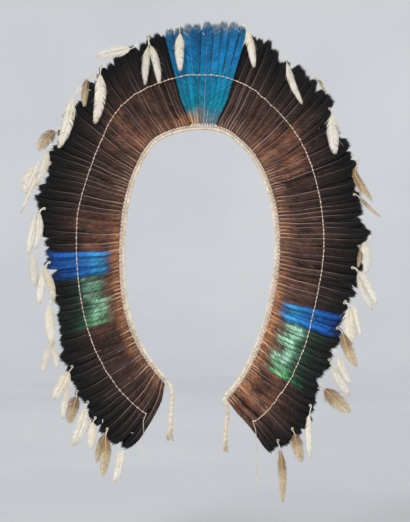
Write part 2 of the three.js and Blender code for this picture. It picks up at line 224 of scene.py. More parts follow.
# %% Tables of the fan
STATIONS = table("along heading length bow stitch", [
    (-506, 242, 129, -8, 63), (-497, 236, 138, -5, 64), (-487, 229, 139, -3, 66),
    (-473, 219, 135, 0, 67), (-457, 212, 133, 1, 68), (-417, 202, 128, 3, 69),
    (-374, 199, 118, 3, 70), (-338, 192, 115, 2, 72), (-300, 189, 121, 2, 74),
    (-277, 185, 130, 2, 75), (-245, 176, 137, 2, 76), (-223, 172, 147, 3, 77),
    (-202, 169, 148, 6, 75), (-182, 164, 144, 7, 73), (-163, 156, 143, 7, 72),
    (-128, 141, 146, 3, 74), (-109, 135, 142, 0, 77), (-73, 120, 153, 0, 81),
    (-37, 112, 158, 0, 84), (-15, 107, 166, 0, 86), (-12, 105, 168, 0, 86),
    (5, 88, 175, 0, 86), (21, 73, 178, 0, 85), (27, 69, 164, 0, 84),
    (58, 64, 159, 0, 81), (80, 56, 160, 0, 79), (99, 48, 165, 0, 79),
    (117, 41, 159, 0, 79), (135, 29, 152, 1, 79), (160, 21, 148, 2, 78),
    (184, 13, 146, 3, 77), (233, 0, 150, 4, 77), (258, -3, 146, 4, 77),
    (307, -12, 138, 4, 74), (349, -16, 126, 2, 73), (388, -25, 127, 2, 74),
    (434, -31, 121, 1, 73), (457, -32, 128, 1, 71), (478, -36, 133, 3, 68),
    (499, -41, 133, 5, 66), (518, -45, 130, 7, 64), (527, -50, 124, 8, 60),
])
FADING = table("along red pale", [
    (-503, 0.15, 0.25), (-450, 0.1, 0.35), (-385, 0.2, 0.75), (-372, 1, 0.85), (-360, 0.35, 0.85),
    (-345, 0.08, 0.9), (-301, 0.05, 0.95), (-285, 0.5, 0.95), (-262, 1, 0.85), (-225, 0.6, 0.5),
    (-200, 0.15, 0.25), (-150, 0.1, 0.12), (-122, 0.35, 0.15), (-95, 1, 0.25), (-70, 0.6, 0.2),
    (-40, 0.1, 0.25), (-14, 0.1, 1), (-3, 0.1, 0.9), (4, 0.1, 0.3), (24, 0.1, 0.1), (60, 0.12, 0.15),
    (92, 0.4, 0.2), (115, 1, 0.3), (135, 0.8, 0.25), (160, 0.25, 0.25), (200, 0.15, 0.3),
    (240, 0.35, 0.35), (280, 0.2, 0.5), (310, 0.45, 0.7), (341, 0.4, 0.9), (370, 0.1, 0.95),
    (425, 0.15, 0.9), (438, 1, 0.8), (450, 0.3, 0.7), (485, 1, 0.6), (530, 0.7, 0.4),
])
FAN_GROUPS = table("name first last feathers width lift kind", [
    ("left_end_brown", -503.4, -375, 24, 21, 0, "brown"),
    ("left_green", -375, -301, 12, 19, 0, "green"),
    ("left_blue", -301, -268, 5, 19, 0, "blue"),
    ("left_brown_3", -268, -182, 14, 19, 0, "brown"),
    ("left_brown_2", -182, -109, 15, 19, 0, "brown"),
    ("left_brown_1", -109, -14, 20, 19, 0, "brown"),
    ("crown_blue", -14, 24, 9, 19.5, 2.2, "crown"),
    ("right_brown_1", 24, 104, 17, 19, 0, "brown"),
    ("right_brown_2", 104, 184, 18, 19, 0, "brown"),
    ("right_brown_3", 184, 266, 14, 19, 0, "brown"),
    ("right_brown_4", 266, 342, 12, 19, 0, "brown"),
    ("right_blue", 342, 370, 4, 19, 0, "blue"),
    ("right_green", 370, 446, 12, 19, 0, "green"),
    ("right_end_brown", 446, 530, 18, 18, 0, "brown"),
])
CROWN_MIDDLE = 5 * MM


def between(rows, along, name):
    """One column's value at a place along the band, in proportion between the rows."""
    return np.interp(along / MM, [row["along"] for row in rows], [row[name] for row in rows])


print("length of the first feather:", between(STATIONS, FAN_GROUPS[0]["first"] * MM, "length"))

# %% [markdown]
# A feather's place is worked out in its own terms: how far out along it, how far to one side, and how far
# forward of its own plane. One function turns these into a point in space, and it holds all that makes
# the fan a fan: the forward lean, the roll that lets each feather cover the next like a shingle, and the
# bow of the shaft. All that belongs to a feather goes through it, so barbs, shafts and thread agree.

# %% The fan's lean, and how feathers differ
HEADING_SPREAD = 1.0           # how much neighbours differ, in degrees
LENGTH_SPREAD = 0.027          # in shares of the length
SLOPE_SPREAD = 0.12            # in shares of the roll
CURL_SPREAD = 1.3 * MM         # how far tips curl to the front or the back
CROWN_SPREAD = 0.4             # the crown's feathers were picked to match, so they differ less
ROLL_EASE = 18 * MM            # the roll grows over this stretch from the band
CURL_SHARES = (0.7, 1.05)      # the stretch of a feather in which its tip curls


def dish(out):
    """How far forward the fan has leaned at a distance from the band."""
    return out * DISH_SLOPE - out * out * DISH_EASE


def smooth_step(value, low, high):
    share = np.clip((value - low) / (high - low), 0, 1)
    return share * share * (3 - 2 * share)


def turned(way, angle):
    """A direction in the fan's plane, turned by a small angle."""
    x, _, z = way
    return np.array([x * math.cos(angle) - z * math.sin(angle), 0, x * math.sin(angle) + z * math.cos(angle)])


print("lean at 150 mm from the band, in millimetres:", round(dish(150 * MM) / MM, 1))

# %% A feather's own space
class FanFeather:
    """A feather that is bound to the band, with small differences of its own."""

    def __init__(self, group, along, rng):
        self.along = along
        self.crown = group["kind"] == "crown"
        self.foot = on_band(along)[0]
        heading = math.radians(between(STATIONS, along, "heading"))
        self.true_way = np.array([math.cos(heading), 0, math.sin(heading)])
        self.true_length = between(STATIONS, along, "length") * MM
        self.stitch = between(STATIONS, along, "stitch") * MM
        self.width = group["width"] * MM
        middle = abs(along - CROWN_MIDDLE) < QUILL_WIDTH
        self.roll = 0 if middle else math.copysign(1, along - CROWN_MIDDLE)
        self.lift = group["lift"] * MM + (MIDDLE_LIFT if middle else 0)
        self.upper = -math.copysign(1, along - CROWN_MIDDLE) * between(STATIONS, along, "bow") * MM
        spread = CROWN_SPREAD if self.crown else 1.0
        self.way = turned(self.true_way, math.radians(rng.normal(0, HEADING_SPREAD * spread)))
        self.across = np.cross(self.way, FRONT)
        self.length = self.true_length * (1 + rng.normal(0, LENGTH_SPREAD * spread))
        self.slope = SHINGLE_SLOPE * (1 + rng.normal(0, SLOPE_SPREAD))
        self.curl = rng.normal(0, CURL_SPREAD)

    def bowed(self, share):
        """How far the shaft bows to the upper side at a share of its length."""
        return self.upper * 4 * share * (1 - share)

    def place(self, out, side, forward):
        """A point out along the feather, to one side, and forward of its own plane."""
        share = out / self.length
        sideways = side + self.bowed(share)
        eased = np.minimum(1, out / ROLL_EASE)
        bend = self.curl * smooth_step(share, *CURL_SHARES)
        toward = dish(out) + eased * (self.lift + self.roll * self.slope * side) + forward + bend
        return (self.foot + self.way * np.asarray(out)[..., None]
                + self.across * np.asarray(sideways)[..., None]
                + FRONT * np.asarray(toward)[..., None])


def bind_group(group):
    rng = np.random.default_rng(1000 + round(group["first"]))
    first, last = group["first"] * MM + END_MARGIN, group["last"] * MM - END_MARGIN
    return [FanFeather(group, along, rng) for along in np.linspace(first, last, group["feathers"])]


fan = {group["name"]: bind_group(group) for group in FAN_GROUPS}
fan_feathers = [feather for members in fan.values() for feather in members]
print("feathers in the fan:", len(fan_feathers))

# %% [markdown]
# What hangs in front of the fan has to clear it, and the fan is not flat. These two functions say how far
# forward it reaches at one feather, or at any point of the plane.

# %% How far forward the fan reaches
BLADE_SHARES = ([0, 0.2, 0.78, 1], [0, 0.62, 1, 0.3])    # places along a feather, and its width there
LEAST_REACH = 12 * MM
PAST_TIP = 10 * MM
NEIGHBOURS = 2


def blade_half(feather, out):
    share = np.clip(out / feather.true_length, 0, 1)
    return max(QUILL_WIDTH, feather.width * np.interp(share, *BLADE_SHARES)) / 2


def front_near(index, out):
    near = fan_feathers[max(0, index - NEIGHBOURS):index + NEIGHBOURS + 1]
    reach = max(feather.lift + SHINGLE_SLOPE * blade_half(feather, out) for feather in near)
    return dish(out) + reach + SHAFT_RIDGE


def front_at(x, z):
    reaches = [LEAST_REACH]
    for index, feather in enumerate(fan_feathers):
        offset = np.array([x, 0, z]) - feather.foot
        out = offset @ feather.way
        if 0 < out < feather.true_length + PAST_TIP and abs(offset @ feather.across) < feather.width:
            reaches.append(front_near(index, min(out, feather.true_length)))
    return max(reaches)


print("reach at the crown's rim, in millimetres:", round(front_at(0, 0.17) / MM, 1))

# %% [markdown]
# ## Building meshes from arrays
#
# A feather has more than a hundred barbs, and there are over two hundred feathers. Operators in Blender
# work on one thing at a time and would take minutes, so the points are worked out as whole arrays and
# given to Blender in one go. The small class below collects strips and tubes until one piece is
# complete. With each point it keeps a few marks: where on the feather it is, and which feather it belongs
# to. The materials read those marks later.

# %% A heap that becomes one mesh
MARKS = ("share", "web", "tone", "red", "pale")
triangle_counts = []


class Heap:
    """Collects closed strips and tubes, and makes one mesh of them."""

    def __init__(self):
        self.points = []
        self.corners = []
        self.sizes = []
        self.finishes = []
        self.marks = {name: [] for name in MARKS}
        self.grain = []
        self.count = 0

    def add(self, points, faces, finish, grain, **marks):
        """Adds points, faces of one size or several, and a value or an array for each mark."""
        points = points.reshape(-1, 3)
        self.points.append(points)
        for corners in faces:
            self.corners.append((corners + self.count).reshape(-1))
            self.sizes.append(np.full(len(corners), corners.shape[1]))
            self.finishes.append(np.full(len(corners), finish))
        for name in MARKS:
            self.marks[name].append(np.broadcast_to(np.ravel(marks.get(name, 0.0)), (len(points),)))
        self.grain.append(np.broadcast_to(grain.reshape(-1, 3), (len(points), 3)))
        self.count += len(points)

    def build(self, name, *materials):
        mesh = bpy.data.meshes.new(name)
        sizes = np.concatenate(self.sizes)
        mesh.vertices.add(self.count)
        mesh.vertices.foreach_set("co", np.concatenate(self.points).astype(np.float32).ravel())
        mesh.loops.add(int(sizes.sum()))
        mesh.loops.foreach_set("vertex_index", np.concatenate(self.corners).astype(np.int32))
        mesh.polygons.add(len(sizes))
        starts = np.concatenate([[0], np.cumsum(sizes)[:-1]])
        mesh.polygons.foreach_set("loop_start", starts.astype(np.int32))
        mesh.polygons.foreach_set("material_index", np.concatenate(self.finishes).astype(np.int32))
        mesh.polygons.foreach_set("use_smooth", np.ones(len(sizes), bool))
        for mark, values in self.marks.items():
            kept = mesh.attributes.new(mark, "FLOAT", "POINT")
            kept.data.foreach_set("value", np.concatenate(values).astype(np.float32))
        kept = mesh.attributes.new("grain", "FLOAT_VECTOR", "POINT")
        kept.data.foreach_set("vector", np.concatenate(self.grain).astype(np.float32).ravel())
        mesh.update(calc_edges=True)
        for material in materials:
            mesh.materials.append(material)
        made = bpy.data.objects.new(name, mesh)
        bpy.context.scene.collection.objects.link(made)
        triangle_counts.append(int((sizes - 2).sum()))
        print(name, "has", triangle_counts[-1], "triangles")
        return made


# %% [markdown]
# ## Yarn
#
# A tube is a ring of points carried along a line. It needs to know which way is up at each point, or it
# would spin. Everything here lies near one upright plane, so the front of the fan is a good up for all of
# it. A twisted cord is then a few tubes whose lines wind round a common one, which is just how a cord is
# laid. The grain that is kept with each point turns with the tube, so that fibres in the finish wind
# round the strand as real ones do.

# %% Tubes and twisted cords
FIBRE_TURN = 900.0      # how fast the fibres wind round a strand, in radians for each metre
FIBRE_LENGTH = 60       # how stretched they are along it
TWIST_STEPS = 9         # points of a strand for each turn
STRAND_PRESS = 1.06     # strands press into each other a little
STRAND_TONE = 0.25      # every second strand is this much lighter
PITCHES = {"tie": 15 * MM, "band": 12.5 * MM, "thread": 3.4 * MM, "tail": 3.2 * MM}    # one full turn


def add_tube(heap, line, radius, sides=8, finish=0, up=FRONT, flat=1.0, **marks):
    """A closed tube; radius is one value or one for each point, and flat squeezes it towards up."""
    count = len(line)
    run = unit(np.gradient(line, axis=0))
    side = unit(np.cross(np.broadcast_to(up, run.shape), run))
    top = np.cross(run, side)
    radii = np.broadcast_to(radius, (count,))[:, None, None]
    turn = np.linspace(0, 2 * math.pi, sides, endpoint=False)[None, :, None]
    points = line[:, None] + radii * (np.cos(turn) * side[:, None] + flat * np.sin(turn) * top[:, None])
    index = np.arange(count * sides).reshape(count, sides)
    beside = np.roll(index, -1, axis=1)
    walls = np.stack([index[:-1], beside[:-1], beside[1:], index[1:]], axis=-1).reshape(-1, 4)
    caps = np.stack([index[0][::-1], index[-1]])
    length = lengths_along(line)[:, None]
    wound = turn[..., 0] + length * FIBRE_TURN
    lengthwise = np.broadcast_to(length * FIBRE_LENGTH, wound.shape)
    grain = np.stack([np.cos(wound), np.sin(wound), lengthwise], axis=-1)
    spread = {name: np.repeat(np.broadcast_to(value, (count,)), sides) for name, value in marks.items()}
    heap.add(points, [walls, caps], finish, grain, **spread)


def add_twist(heap, line, radius, strands, pitch, sides=8):
    """Strands wound round a line; together they have the given radius."""
    share = math.sin(math.pi / strands) / (1 + math.sin(math.pi / strands))
    strand_radius = radius * share
    line = even_line(line, pitch / TWIST_STEPS)
    lengths = lengths_along(line)
    run = unit(np.gradient(line, axis=0))
    side = unit(np.cross(np.broadcast_to(FRONT, run.shape), run))
    top = np.cross(run, side)
    for strand in range(strands):
        turn = (2 * math.pi * (lengths / pitch + strand / strands))[:, None]
        out = np.cos(turn) * side + np.sin(turn) * top
        add_tube(heap, line + out * (radius - strand_radius), strand_radius * STRAND_PRESS, sides,
                 tone=STRAND_TONE * (strand % 2))


# %% [markdown]
# ## Barbs
#
# A vane looks like a solid sheet, but it is made of barbs that leave the shaft at a slant and hook on to
# each other. Where the hooks let go, the vane splits. Drawing the vane as one sheet with a picture of
# lines on it would look right only from afar. Here each barb, or small lock of barbs, is a thin closed
# strip of its own with a low ridge, and its tip lies on the feather's outline. Locks are made by letting
# the tips run together and then start again: a small step gives the fine combed edge, and a big one gives
# a split. Each strip is tilted a little, so that it overlaps the next one without lying in it.

# %% Barbs along both sides of a shaft
BARB_STEPS = np.array([0, 0.3, 0.62, 0.87])    # rings of points from the shaft to the tip
RING = 3                                       # points in a ring: back edge, ridge and front edge
TIP = RING * len(BARB_STEPS)                   # the last point is the tip itself
BEND_OUT, BEND_SIDE = 0.3, 0.62                # a barb bends this far out and to the side
BASE_STRETCH = 0.16                            # the first barbs stand out more than the others
SPLIT_SIZE = 5                                 # how much further a split draws its lock
GRAIN_STRETCH = 1.5                            # the streaks' change from the shaft to a barb's tip
GRAIN_SPREAD = 9                               # how far apart two webs may lie in that pattern


def lock_shifts(count, rng, size, amount, splits):
    """How far each barb's tip is drawn along the feather by the lock that it is in."""
    shifts = np.zeros(count)
    start = 0
    while start < count:
        end = min(count, start + max(2, round(rng.normal(size, size / 3))))
        height = amount * rng.uniform(0.4, 1.4) * (SPLIT_SIZE if rng.random() < splits else 1)
        shifts[start:end] = height * (0.5 - np.linspace(0, 1, end - start))
        start = end
    return shifts


def barb_ends(shape, web, rng):
    """Out and side of the place where each barb leaves the shaft, and then of its tip."""
    count, length, start = shape["barbs"], shape["length"], shape["start"]
    last = length - shape["tip_reach"]
    roots = start + (last - start) * (np.arange(count) + 0.5) / count
    spread = (roots - start) / (last - start)
    gained = (shape["slant"] - shape["base_slant"]) * smooth_step(spread, 0, BASE_STRETCH)
    lead = shape["base_slant"] + gained
    ahead = lead + (shape["tip_reach"] - lead) * spread ** 2
    drawn = lock_shifts(count, rng, shape["lock"], shape["draw"], shape["splits"])
    tips = np.minimum(roots + ahead + drawn * (1 - 0.7 * spread), length)
    width = shape["half"](tips / length) * (1 + rng.normal(0, shape["fray"], count))
    broken = rng.random(count) < shape["broken"]
    width = np.where(broken, width * rng.uniform(0.5, 0.9, count), width)
    return roots, shape["shaft"](roots / length), tips, web * width


def barb_lines(ends, steps):
    """Out and side of every barb at each of the steps from the shaft to the tip."""
    root_out, root_side, tip_out, tip_side = (value[:, None] for value in ends)
    bend_out = root_out + BEND_OUT * (tip_out - root_out)
    bend_side = root_side + BEND_SIDE * (tip_side - root_side)
    first, second, third = (1 - steps) ** 2, 2 * steps * (1 - steps), steps ** 2
    return (first * root_out + second * bend_out + third * tip_out,
            first * root_side + second * bend_side + third * tip_side)


def barb_faces(count, flipped):
    """Walls and ends of closed strips, all numbered alike."""
    rings = np.arange(TIP).reshape(-1, RING)
    beside = np.roll(rings, -1, axis=1)
    walls = np.stack([rings[:-1], beside[:-1], beside[1:], rings[1:]], axis=-1).reshape(-1, 4)
    point = np.stack([rings[-1], beside[-1], np.full(RING, TIP)], axis=-1)
    ends = np.vstack([point, rings[:1, ::-1]])
    if flipped:
        walls, ends = walls[:, ::-1], ends[:, ::-1]
    offset = (np.arange(count) * (TIP + 1))[:, None, None]
    return [(walls[None] + offset).reshape(-1, 4), (ends[None] + offset).reshape(-1, 3)]


print("faces of one barb:", sum(len(faces) for faces in barb_faces(1, False)))

# %% A whole vane
def add_vane(heap, shape, place, rng, **marks):
    """Barbs on both sides of a shaft. shape holds the feather's sizes, and place gives its space."""
    length, count = shape["length"], shape["barbs"]
    spacing = (length - shape["tip_reach"] - shape["start"]) / count
    steps = BARB_STEPS[None, :]
    over = np.concatenate([np.tile([-0.5, 0, 0.5], len(BARB_STEPS)), [0]])
    far = np.concatenate([np.repeat(BARB_STEPS, RING), [1]])
    for web in (-1, 1):
        ends = barb_ends(shape, web, rng)
        stray = rng.normal(0, shape["stray"], count)[:, None]
        out, side = barb_lines(ends, steps)
        tip_out, tip_side = barb_lines(ends, np.ones((1, 1)))
        half = 0.5 * shape["cover"] * spacing * np.interp(steps, [0, 0.6, 1], [1, 1, 0.55])
        cup = (shape["cup"] + stray) * steps ** 2
        ridge = shape["ridge"] * (1 - 0.5 * steps)
        corners = np.stack([
            place(out - half, side, cup + shape["tilt"]),
            place(out + 0.1 * half, side, cup + ridge),
            place(out + half, side, cup - shape["tilt"]),
        ], axis=2).reshape(count, -1, 3)
        points = np.concatenate([corners, place(tip_out, tip_side, shape["cup"] + stray)], axis=1)
        share = np.concatenate([np.repeat(out, RING, axis=1), tip_out], axis=1) / length
        grain = np.stack(np.broadcast_arrays(
            (ends[0][:, None] + over * spacing) / MM, far * GRAIN_STRETCH + web,
            rng.uniform(0, GRAIN_SPREAD)), axis=-1)
        tone = marks["tone"] + rng.normal(0, shape["mottle"], count)[:, None] + 0 * share
        heap.add(points, barb_faces(count, web < 0), 0, grain, share=share, tone=tone,
                 web=web * shape["outer"], red=marks["red"], pale=marks["pale"])


# %% [markdown]
# ## The fan's feathers
#
# A flight feather is not symmetrical: the web that meets the air is narrow, and the other one is wide and
# lies under the next feather. That is why every shaft in the fan can be seen as a thin pale line. The
# narrow web is the one that covers its neighbour. The crown's blue feathers are tail feathers with their
# shafts in the middle. The bare quill is stiff and round, and the shaft grows thinner all the way to the
# tip.
#
# The table holds what differs between the two kinds: how many barbs a web has, where they start and how
# far ahead they slant, how wide the vane is at its base and where it is full, how far locks are drawn,
# where the tip rounds off and how squarely, how far the shaft lies to one side, and how far loose barbs
# reach past the plain outline of the measured solid.

# %% Shapes of the fan's feathers
VANES = table("kind barbs start slant base full draw round power bias spread", [
    ("flight", 54, 4.8, 10.5, 0.46, 0.3, 0.9, 0.76, 2.1, 0.4, 1.15),
    ("tail", 66, 6.5, 12, 0.36, 0.34, 0.5, 0.87, 2.6, 0.06, 1),
])
FLIGHT, TAIL = VANES
OPENING = 0.02                 # the vane starts to widen here, and is full at the share in the table
SHAFT_RINGS = 16
SHAFT_TAPER = 1.7
SHAFT_LIFT = 0.15 * MM
THICK_END, THIN_END = 1.15 * MM, 0.14 * MM
QUILL_START = 0.8 * MM
WIDTH_SPREAD = 0.03            # in shares of the width
TONE_SPREAD = 0.55             # how much lighter or darker neighbours are
RED_RANGE = (0.5, 1.35)        # a feather takes this much of the fading around it
PALE_RANGE = (0.7, 1.2)
SHAFT_TONES = (-2.3, 0.6)      # shafts differ more than vanes, and most of them are dark


def round_tip(share, start, power):
    """Closes an outline from its full width at start to a rounded tip."""
    beyond = np.clip((share - start) / (1 - start), 0, 1)
    return np.sqrt(np.maximum(0, 1 - beyond ** power))


def fan_shape(feather, rng):
    kind = TAIL if feather.crown else FLIGHT
    half_width = feather.width / 2 * kind["spread"] * (1 + rng.normal(0, WIDTH_SPREAD))
    bias = kind["bias"] * feather.roll * half_width

    def half(share):
        opening = kind["base"] + (1 - kind["base"]) * smooth_step(share, OPENING, kind["full"])
        return half_width * opening * round_tip(share, kind["round"], kind["power"])

    def shaft(share):
        return bias * smooth_step(share, OPENING, 0.3) * (1 - smooth_step(share, 0.72, 1))

    return {
        "length": feather.length, "barbs": kind["barbs"], "start": kind["start"] * MM, "tip_reach": 6 * MM,
        "slant": kind["slant"] * MM, "base_slant": 3 * MM, "lock": 7, "draw": kind["draw"] * MM,
        "splits": 0.01, "fray": 0.02, "broken": 0.02, "stray": 0.12 * MM, "cover": 1.6, "cup": -0.35 * MM,
        "tilt": 0.12 * MM, "ridge": 0.3 * MM, "mottle": 0.3, "half": half, "shaft": shaft,
        "outer": feather.roll,
    }


def add_shaft(heap, shape, place, quill, tip, begin, **marks):
    """The quill and the shaft, from their thick end to the thin one."""
    out = np.linspace(begin, shape["length"] - 0.5 * shape["tip_reach"], SHAFT_RINGS)
    share = out / shape["length"]
    line = place(out, shape["shaft"](share), SHAFT_LIFT + 0 * out)
    radius = tip + (quill - tip) * (1 - share) ** SHAFT_TAPER
    add_tube(heap, line, radius, 6, 1, flat=0.85, share=share, **marks)


def add_fan_feather(heap, feather, rng):
    shape = fan_shape(feather, rng)
    marks = {
        "tone": rng.normal(0, TONE_SPREAD),
        "red": between(FADING, feather.along, "red") * rng.uniform(*RED_RANGE),
        "pale": between(FADING, feather.along, "pale") * rng.uniform(*PALE_RANGE),
    }
    add_vane(heap, shape, feather.place, rng, **marks)
    marks["tone"] = rng.uniform(*SHAFT_TONES)
    add_shaft(heap, shape, feather.place, THICK_END, THIN_END, QUILL_START, **marks)


print("barbs on a flight feather:", 2 * FLIGHT["barbs"], "and on a tail feather:", 2 * TAIL["barbs"])

# %% [markdown]
# ## Finishes
#
# Helpers first. Building node trees by hand is wordy, so one function adds a node and either links or
# sets each of its inputs, and another makes a colour ramp from a list of stops.

# %% Helpers for node trees
def feed(tree, socket, value):
    """Links another node's output to a socket, or sets the socket to a plain value."""
    if isinstance(value, bpy.types.NodeSocket):
        tree.links.new(value, socket)
    else:
        socket.default_value = value


def put(tree, kind, inputs=None, **settings):
    """Adds a node with its settings and inputs."""
    made = tree.nodes.new(kind)
    for name, value in settings.items():
        setattr(made, name, value)
    for name, value in (inputs or {}).items():
        feed(tree, made.inputs[name], value)
    return made


def mark(tree, name):
    """The value that the heap kept under this name for each point."""
    return put(tree, "ShaderNodeAttribute", attribute_name=name).outputs["Fac"]


def maths(tree, operation, *values, clamp=False):
    return put(tree, "ShaderNodeMath", dict(enumerate(values)), operation=operation,
               use_clamp=clamp).outputs[0]


def scaled(tree, vector, amount):
    """A colour or a vector times a number."""
    return put(tree, "ShaderNodeVectorMath", {0: vector, "Scale": amount}, operation="SCALE").outputs[0]


def noise(tree, vector, scale, detail, roughness=0.5):
    return put(tree, "ShaderNodeTexNoise", {"Vector": vector, "Scale": scale, "Detail": detail,
                                            "Roughness": roughness}).outputs["Fac"]


def ramp(tree, value, stops):
    """A smooth colour ramp; stops are pairs of a position and a colour."""
    made = put(tree, "ShaderNodeValToRGB", {"Fac": value})
    made.color_ramp.interpolation = "EASE"
    elements = made.color_ramp.elements
    while len(elements) < len(stops):
        elements.new(1)
    for element, (position, colour) in zip(elements, stops):
        element.position = position
        element.color = colour if isinstance(colour, tuple) else paint(colour)
    return made.outputs["Color"]


def mix(tree, share, first, second, blend="MIX"):
    """Mixes two colours; share is a value or an output."""
    made = put(tree, "ShaderNodeMix", data_type="RGBA", blend_type=blend)
    for socket, value in ((0, share), (6, first), (7, second)):
        feed(tree, made.inputs[socket], value)
    return made.outputs[2]


def grey(level):
    return (level, level, level, 1.0)


def object_place(tree):
    """The place of a point on the object, in metres."""
    return put(tree, "ShaderNodeTexCoord").outputs["Object"]


print("half grey in linear values:", round(paint("#808080")[0], 3))

# %% [markdown]
# Two effects are shared by feathers and cotton, so each is built once as a node group. Fibres are fine
# streaks that follow the grain kept in the mesh: along the barbs of a feather, and round and round a
# strand of cotton. Age is a soft unevenness of tone over a few centimetres, as dust and handling leave
# it. A group gives out only values and colours, and each material feeds them to its own shader.

# %% Node group for fibres
def group_with(name, inputs, outputs):
    """An empty node group with named sockets; inputs have a starting value."""
    group = bpy.data.node_groups.new(name, "ShaderNodeTree")
    for socket, kind, value in inputs:
        made = group.interface.new_socket(socket, in_out="INPUT", socket_type=kind)
        made.default_value = value
    for socket, kind in outputs:
        group.interface.new_socket(socket, in_out="OUTPUT", socket_type=kind)
    return group, group.nodes.new("NodeGroupInput"), group.nodes.new("NodeGroupOutput")


def fibre_group():
    group, given, result = group_with(
        "fibres", [("Fineness", "NodeSocketFloat", 1.0)],
        [("Streak", "NodeSocketFloat"), ("Height", "NodeSocketFloat")])
    grain = put(group, "ShaderNodeAttribute", attribute_name="grain").outputs["Vector"]
    fine = scaled(group, grain, given.outputs["Fineness"])
    streak = ramp(group, noise(group, fine, 0.8, 3.0), [(0.3, grey(0)), (0.7, grey(1))])
    group.links.new(streak, result.inputs["Streak"])
    group.links.new(noise(group, fine, 3.1, 2.0), result.inputs["Height"])
    return group


fibres = fibre_group()
print("node group:", fibres.name)

# %% Node group for age
def age_group():
    group, given, result = group_with(
        "age",
        [("Color", "NodeSocketColor", grey(0.5)), ("Amount", "NodeSocketFloat", 0.3),
         ("Scale", "NodeSocketFloat", 30.0)],
        [("Color", "NodeSocketColor")])
    cloud = noise(group, object_place(group), given.outputs["Scale"], 4.0, 0.6)
    shade = ramp(group, cloud, [(0.32, grey(0.45)), (0.68, grey(1.25))])
    aged = mix(group, given.outputs["Amount"], given.outputs["Color"],
               mix(group, 1.0, given.outputs["Color"], shade, "MULTIPLY"))
    group.links.new(aged, result.inputs["Color"])
    return group


age = age_group()
print("node group:", age.name)

# %% Parts that every finish has
def place_group(tree, group, **inputs):
    return put(tree, "ShaderNodeGroup", inputs, node_tree=group).outputs


def new_finish(name):
    material = bpy.data.materials.new(name)
    material.use_nodes = True
    tree = material.node_tree
    return material, tree, tree.nodes["Principled BSDF"]


def finish_with(tree, shader, colour, roughness, height, strength, depth):
    """Feeds the shader with a colour, a roughness and a bump made from a height."""
    bump = put(tree, "ShaderNodeBump", {"Height": height, "Strength": strength, "Distance": depth})
    shown = {"Base Color": colour, "Roughness": roughness, "Normal": bump.outputs["Normal"]}
    for name, value in shown.items():
        tree.links.new(value, shader.inputs[name])


# %% [markdown]
# A feather's colour changes along it, and not at the same place on any two feathers. So each kind has two
# ramps from the quill to the tip, a cool one and a red or faded one, and the marks say how far to go from
# one to the other. The wide web is painted darker than the narrow one: this is painted shade, where it lies
# under the next feather, and it gives the fan its fine dark and light lines. Barbs shine softly at a low
# angle, which a little sheen gives; a clear coat would make them look wet.

# %% A vane's finish
PATCH_SCALE = 38.0                               # faded patches, for each metre
QUILL_FADE = [(0.07, grey(1)), (0.2, grey(0))]   # the quill's colour ends between these shares
STREAK_MIDDLE = 0.54                             # the streaks' own mean, which keeps the tone in balance


def vane_finish(name, cool, faded, inner_web_shade=0.6, quill="#c47d50", roughness=0.62, sheen=0.05, tip_noise=0.05,
                contrast=1.15, ageing=0.4):
    material, tree, shader = new_finish(name)
    share, tone = mark(tree, "share"), mark(tree, "tone")
    streak = place_group(tree, fibres, Fineness=1.0)
    patch = noise(tree, object_place(tree), PATCH_SCALE, 3.0)
    wander = maths(tree, "MULTIPLY", maths(tree, "SUBTRACT", patch, 0.5), 4 * tip_noise)
    shifted = maths(tree, "ADD", maths(tree, "MULTIPLY_ADD", tone, tip_noise, share), wander)
    sharper = maths(tree, "MULTIPLY_ADD", patch, 4.0, -1.25)
    red = maths(tree, "MULTIPLY", mark(tree, "red"), sharper, clamp=True)
    colour = mix(tree, red, ramp(tree, shifted, cool), ramp(tree, shifted, faded))
    rusty = maths(tree, "MULTIPLY", ramp(tree, shifted, QUILL_FADE), mark(tree, "pale"), clamp=True)
    colour = mix(tree, rusty, colour, paint(quill))
    # Painted shade: the wide web, which lies under the next feather, is made darker, standing in for the
    # shadow that the feather over it casts.
    web = ramp(tree, maths(tree, "MULTIPLY_ADD", mark(tree, "web"), 0.5, 0.5),
               [(0.3, grey(inner_web_shade)), (0.7, grey(1))])
    colour = mix(tree, 1.0, colour, web, "MULTIPLY")
    streaked = maths(tree, "MULTIPLY_ADD", streak["Streak"], contrast, 1 - STREAK_MIDDLE * contrast)
    level = maths(tree, "MULTIPLY", maths(tree, "MULTIPLY_ADD", tone, 0.5, 1.0), streaked)
    aged = place_group(tree, age, Color=scaled(tree, colour, level), Amount=ageing, Scale=55.0)["Color"]
    rough = maths(tree, "MULTIPLY_ADD", streak["Streak"], 0.2, roughness - 0.1)
    finish_with(tree, shader, aged, rough, streak["Height"], 0.35, 0.0004)
    shader.inputs["Specular IOR Level"].default_value = 0.2
    shader.inputs["Sheen Weight"].default_value = sheen
    shader.inputs["Sheen Roughness"].default_value = 0.45
    return material


# %% A shaft's finish
BARE_FADE = [(0.06, grey(1)), (0.24, grey(0))]


def shaft_finish(name, quill, middle, tip):
    """Bare quill, shaft and tip; the quill is pale where the marks say so and brown elsewhere."""
    material, tree, shader = new_finish(name)
    share = mark(tree, "share")
    colour = ramp(tree, share, [(0.1, middle), (0.55, middle), (0.95, tip)])
    pale = maths(tree, "MULTIPLY", ramp(tree, share, BARE_FADE), mark(tree, "pale"), clamp=True)
    colour = mix(tree, pale, colour, paint(quill))
    level = maths(tree, "MULTIPLY_ADD", mark(tree, "tone"), 0.35, 1.0)
    aged = place_group(tree, age, Color=scaled(tree, colour, level), Amount=0.4, Scale=90.0)["Color"]
    streak = place_group(tree, fibres, Fineness=1.4)
    rough = maths(tree, "MULTIPLY_ADD", streak["Streak"], 0.15, 0.35)
    finish_with(tree, shader, aged, rough, streak["Height"], 0.2, 0.0002)
    return material


